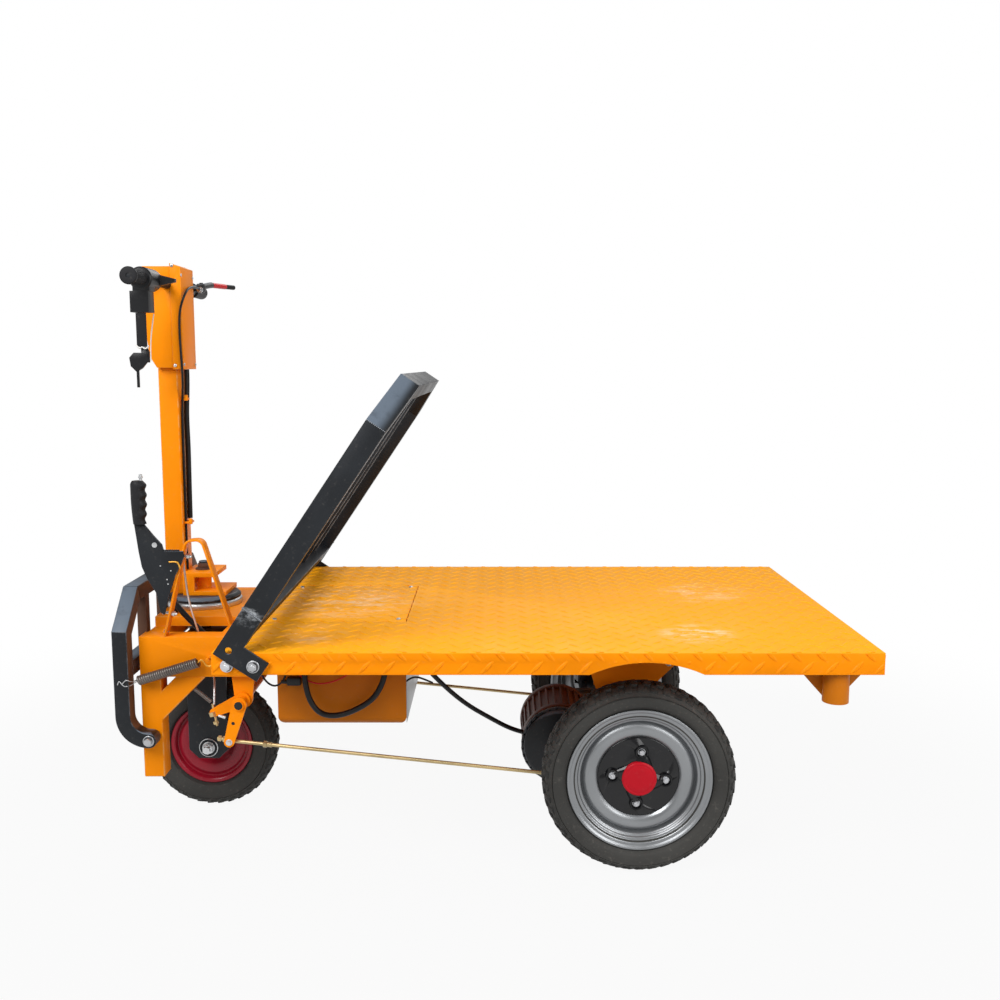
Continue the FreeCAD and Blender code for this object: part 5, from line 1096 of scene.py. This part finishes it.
def head_fittings():
    """Screws of the head's cover, and the cable ties on the post."""
    screws, ties = bmesh.new(), bmesh.new()
    low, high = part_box("head_cover")
    for up in (low[2] + 0.012, high[2] - 0.03):
        for along in (low[1] + 0.004, high[1] - 0.006):
            pan_screw(screws, (high[0] - 0.0005, along, up), X, 0.0042)
    for up in (low[2] + 0.01, high[2] - 0.006):
        for out, edge in ((-1, low[1]), (1, high[1])):
            pan_screw(screws, (low[0] + 0.006, edge, up), (0, out, 0), 0.0046)
    for up in TIE_HEIGHTS:
        block_at(ties, (-0.7765, -0.008, up), (0.018, 0.034, 0.006), 0.002)
        block_at(ties, (-0.769, -0.02, up + 0.003), (0.009, 0.01, 0.015), 0.002)
    finished(screws, "cover_screws", "steering", "zinc_steel")
    finished(ties, "cable_ties", "steering", "orange_paint")


def throttle_sleeve():
    """Ribbed sleeve of the twist grip, and the disc with a hole at its end."""
    rubber = bmesh.new()
    start = Vector((BAR.x, -BAR_HALF, BAR.z))
    turned(rubber, [(0.0055, 0.0004), (0.0055, 0.0016), (0.0165, 0.0022), (0.019, 0.0012), (0.0205, -0.001),
                    (0.0205, -0.004)], 48, facing(start, (0, -1, 0)))
    for number in range(18):
        spot = start + Vector((0, 0.01 + 0.0036 * number, 0))
        turned(rubber, [(0.0168, -0.001), (0.0177, -0.0006), (0.0177, 0.0006), (0.0168, 0.001)], 40,
               facing(spot, Y))
    finished(rubber, "throttle_sleeve", "steering", "black_rubber")


def key_string():
    """White string from the throttle down to the knot that holds the keys."""
    for name, radius, points in (
            ("key_string", 0.0014, [(-0.784, -0.205, 1.317), (-0.792, -0.195, 1.29), (-0.802, -0.18, 1.255),
                                    (-0.806, -0.172, 1.225), (-0.807, -0.17, 1.205)]),
            ("key_knot", 0.0019, [(-0.841, -0.1712, 1.243), (-0.834, -0.172, 1.234), (-0.826, -0.172, 1.24),
                                  (-0.818, -0.172, 1.232), (-0.81, -0.1712, 1.242)])):
        wire_line(name, points, radius, "steering", "white_string", "black_rubber")


def brake_hand_lever():
    """Lever of the front brake: clamp, metal barrel, red sleeve and black tip."""
    clamp, barrel = bmesh.new(), bmesh.new()
    turned(clamp, [(0.0112, -0.02), (0.0162, -0.02), (0.017, -0.018), (0.017, 0.018), (0.0162, 0.02),
                   (0.0112, 0.02)], 40, facing(Vector((BAR.x, 0.135, BAR.z)), Y))
    block_at(clamp, (-0.768, 0.134, BAR.z + 0.003), (0.03, 0.022, 0.018), 0.003)
    block_at(clamp, (-0.762, 0.13, BAR.z + 0.004), (0.022, 0.016, 0.024), 0.004)
    bar_between(clamp, (-0.76, 0.128, BAR.z - 0.01), (-0.76, 0.128, BAR.z + 0.018), 0.005)
    stand_in(clamp, "brake_lever", "black_paint")
    start, bend, red, tip, end = ((-0.762, 0.127, 1.404), (-0.7535, 0.19, 1.415), (-0.7515, 0.2, 1.415),
                                  (-0.729, 0.258, 1.415), (-0.713, 0.292, 1.415))
    wire_line("lever_blade", [start, bend, red], 0.008, "steering", "black_paint")
    wire_line("lever_sleeve", [red, tip], 0.0072, "steering", "bright_red", "red_paint")
    wire_line("lever_tip", [tip, end], 0.0064, "steering", "black_rubber")
    bar_between(barrel, (-0.758, 0.118, 1.396), (-0.758, 0.092, 1.396), 0.0058, 20)
    bar_between(barrel, (-0.758, 0.11, 1.396), (-0.758, 0.104, 1.396), 0.008, 12)
    finished(barrel, "cable_barrel", "steering", "zinc_steel")


# ---- underneath ----------------------------------------------------------------------------------

PLUG_SIDE = -0.2855

# Thin wires beside the leads, each with its radius, its finish and its route.
THIN_WIRES = {
    "red_wire": (0.0018, "bright_red", [
        (-0.44, -0.286, 0.446), (-0.428, -0.288, 0.436), (-0.405, -0.29, 0.426), (-0.385, -0.291, 0.424),
        (-0.36, -0.29, 0.428), (-0.338, -0.286, 0.436), (-0.32, -0.284, 0.446)]),
    "plug_wire": (0.0024, "cable_sheath", [
        (-0.535, -0.288, 0.455), (-0.528, -0.288, 0.44), (-0.515, -0.289, 0.424), (-0.499, -0.289, 0.417),
        (-0.485, -0.288, 0.424), (-0.476, -0.286, 0.434), (-0.47, -0.2855, 0.455)]),
    "rear_wire": (0.0024, "cable_sheath", [
        (-0.18, -0.27, 0.424), (-0.17, -0.27, 0.432), (-0.155, -0.271, 0.436), (-0.135, -0.272, 0.43),
        (-0.115, -0.27, 0.42)]),
}


def box_wiring():
    """Plug on the side of the battery box and the thin wires beside the leads."""
    plug = bmesh.new()
    block_at(plug, (-0.452, PLUG_SIDE, 0.43), (0.034, 0.02, 0.02), 0.003)
    block_at(plug, (-0.476, PLUG_SIDE, 0.428), (0.016, 0.012, 0.008), 0.002)
    finished(plug, "battery_plug", "chassis", "black_plastic")
    for name, (radius, finish, points) in THIN_WIRES.items():
        wire_line(name, points, radius, "chassis", finish, "cable_sheath")


def box_end_sheet():
    """Bare sheet on the rear end of the battery box."""
    low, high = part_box("battery_box")
    sheet = bmesh.new()
    block_at(sheet, (high[0] + 0.0004, 0, (low[2] + high[2]) / 2),
             (0.001, high[1] - low[1] - 0.006, high[2] - low[2] - 0.012))
    finished(sheet, "box_end_sheet", "chassis", "silver_paint")


def motor_teeth():
    """Short teeth round the motor's end cover."""
    low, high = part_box("motor_end_cover")
    teeth = bmesh.new()
    lug_ring(teeth, (low + high) / 2, (high[0] - low[0]) / 2 + 0.0035, 32,
             (0.01, 0.0085, high[1] - low[1] - 0.001))
    finished(teeth, "motor_teeth", "chassis", "black_paint")


# ---- stage ---------------------------------------------------------------------------------------

# The floor and the even light round it, and the place that the lamps are aimed at.
WHITE = (1, 1, 1)
FLOOR_GREY = (0.35, 0.35, 0.35)
FLOOR_HALF = 30
WHITE_RAYS = ("Is Camera Ray", "Is Glossy Ray", "Is Transmission Ray")
AROUND_STRENGTH = 0.46
AIM = Vector((0, 0, 0.5))

# The floor's whiteness near the cart and away from it, and the distances between which it changes.
WHITE_FROM, WHITE_TO = 0.93, 1.0
NEAR, AWAY = 1.2, 2.6

# Soft lamps, each with its place, its size and its power.
LAMPS = {
    "key": ((-2.6, -3.6, 4.2), (3.0, 3.0), 235),
    "fill": ((3.4, -3.0, 2.4), (3.0, 2.5), 105),
    "back": ((0.5, 3.6, 3.4), (3.5, 2.0), 45),
}


def any_white_ray(tree):
    """1 for a ray that should see the plain white backdrop."""
    path = tree.nodes.new("ShaderNodeLightPath")
    first, second, third = (path.outputs[name] for name in WHITE_RAYS)
    return sums(tree, "MAXIMUM", sums(tree, "MAXIMUM", first, second), third)


def add_floor():
    """A wide pale floor that keeps a soft shadow."""
    bm = bmesh.new()
    bmesh.ops.create_grid(bm, x_segments=1, y_segments=1, size=FLOOR_HALF)
    mesh = bpy.data.meshes.new("floor")
    bm.to_mesh(mesh)
    bm.free()
    floor = bpy.data.objects.new("floor", mesh)
    bpy.context.collection.objects.link(floor)
    pale = bpy.data.materials.new("floor")
    pale.use_nodes = True
    tree = pale.node_tree
    tree.nodes.clear()
    matt = add(tree, "ShaderNodeBsdfDiffuse", Color=tint(*FLOOR_GREY))
    glow = add(tree, "ShaderNodeEmission", Color=tint(*WHITE), Strength=1.0)
    blend = tree.nodes.new("ShaderNodeMixShader")
    away = add(tree, "ShaderNodeVectorMath", {"operation": "LENGTH"})
    tree.links.new(add(tree, "ShaderNodeTexCoord").outputs["Object"], away.inputs[0])
    whiteness = ramped(tree, away.outputs["Value"], NEAR, AWAY, WHITE_FROM, WHITE_TO)
    tree.links.new(sums(tree, "MULTIPLY", any_white_ray(tree), whiteness), blend.inputs[0])
    tree.links.new(matt.outputs[0], blend.inputs[1])
    tree.links.new(glow.outputs[0], blend.inputs[2])
    tree.links.new(blend.outputs[0], tree.nodes.new("ShaderNodeOutputMaterial").inputs[0])
    mesh.materials.append(pale)


def add_world():
    """Even pale light from all round, seen as white behind the cart."""
    world = bpy.data.worlds.new("studio")
    bpy.context.scene.world = world
    world.use_nodes = True
    tree = world.node_tree
    tree.nodes.clear()
    light = add(tree, "ShaderNodeBackground", Color=tint(*WHITE), Strength=AROUND_STRENGTH)
    white = add(tree, "ShaderNodeBackground", Color=tint(*WHITE), Strength=1.0)
    blend = tree.nodes.new("ShaderNodeMixShader")
    path = tree.nodes.new("ShaderNodeLightPath")
    tree.links.new(path.outputs["Is Camera Ray"], blend.inputs[0])
    tree.links.new(light.outputs[0], blend.inputs[1])
    tree.links.new(white.outputs[0], blend.inputs[2])
    tree.links.new(blend.outputs[0], tree.nodes.new("ShaderNodeOutputWorld").inputs[0])


def add_lamp(name, spot, size, power):
    """A large soft lamp aimed at the middle of the cart."""
    data = bpy.data.lights.new(name, "AREA")
    data.shape = "RECTANGLE"
    data.size, data.size_y = size
    data.energy = power
    lamp = bpy.data.objects.new(name, data)
    lamp.location = spot
    lamp.rotation_euler = (AIM - Vector(spot)).to_track_quat("-Z", "Y").to_euler()
    bpy.context.collection.objects.link(lamp)


# ---- the cart ------------------------------------------------------------------------------------

# CAD nodes that keep their shape, each with the rounding of its edges and its finish.
DRESSED = {
    "deck_plate": (0.0012, "deck_paint"), "battery_lid": (0.001, "deck_paint"),
    "rails": (0.0015, "orange_paint"), "bed_cross_bars": (0.0015, "orange_paint"),
    "front_legs": (0.0025, "orange_paint"),
    "turntable_platform": (0.0012, "orange_paint"), "bearing_ring": (0.0015, "zinc_steel"),
    # The battery box and the stake sockets take the shaded orange, which is painted shade.
    "battery_box": (0.0008, "shaded_orange"), "battery": (0.003, "black_plastic"),
    "axle_beam": (0.0012, "black_paint"), "axle_hangers": (0.0012, "orange_paint"),
    "gear_case": (0.003, "black_paint"), "motor_body": (0.001, "motor_paint"),
    "motor_end_cover": (0.002, "black_paint"), "brake_rods": (0.0008, "yellow_zinc"),
    "brake_stand": (0.001, "orange_paint"), "brake_plate": (0.001, "black_paint"),
    "stake_sockets": (0.0012, "shaded_orange"), "fork": (0.0015, "black_paint"),
    "turntable_cap": (0.0015, "black_paint"), "steering_bracket": (0.0015, "orange_paint"),
    "steering_post": (0.0035, "orange_paint"), "handlebar": (0.001, "black_paint"),
    "head_console": (0.0015, "orange_paint"), "head_cover": (0.0012, "orange_paint"),
    "throttle_grip": (0.0018, "black_plastic"), "left_grip": (0.001, "black_rubber"),
    "rack_sides": (0.0022, "black_paint"), "rack_cross_bars": (0.0022, "black_paint"),
    "rack_inner_bars": (0.0018, "black_paint"), "pedal_sides": (0.0022, "pedal_paint"),
    "pedal_cross_bars": (0.0022, "pedal_paint"), "pedal_inner_bars": (0.0018, "primer_brown"),
    "key_strap": (0.0007, "black_rubber"), "keys": (0.0012, "black_plastic"),
}
DRIVE_TYRE = {"radius": 0.229, "width": 0.095, "bead": 0.152, "edge": 0.172, "rim": 0.062, "count": 46,
              "relief": 0.0056}
STEER_TYRE = {"radius": 0.175, "width": 0.088, "bead": 0.101, "edge": 0.111, "rim": 0.054, "count": 38,
              "relief": 0.0044}

for node, (width, finish) in DRESSED.items():
    dressed(node, width, finish)

for node, piece in LEADS.items():
    piece.data.materials.append(FINISHES[SLOT_OF[node]])

bpy.context.view_layer.update()
for piece in LEADS.values():
    piece.update_tag(refresh={"OBJECT"})

top_bars()
skirt_bars()
lid_screws()
for side_name, out in SIDES.items():
    tyre("drive_tyre_piece_" + side_name, "drive_tyre_" + side_name, PIVOT[side_name + "_wheel_roll"],
         **DRIVE_TYRE)
    drive_rim(side_name, out)
    hub_cover(side_name, out)
tyre("steer_tyre_piece", "steer_tyre", STEER_AXLE, **STEER_TYRE)
steered_wheel()
axle_nuts()
pivot_bolts()
king_nut()
rack_welds()
pedal_springs()
brake_links()
crank_shaft()
brake_grip()
hand_brake()
head_fittings()
throttle_sleeve()
key_string()
brake_hand_lever()
box_wiring()
box_end_sheet()
motor_teeth()
add_floor()
add_world()
for name, (spot, size, power) in LAMPS.items():
    add_lamp(name, spot, size, power)
bpy.context.scene.view_settings.view_transform = "Standard"
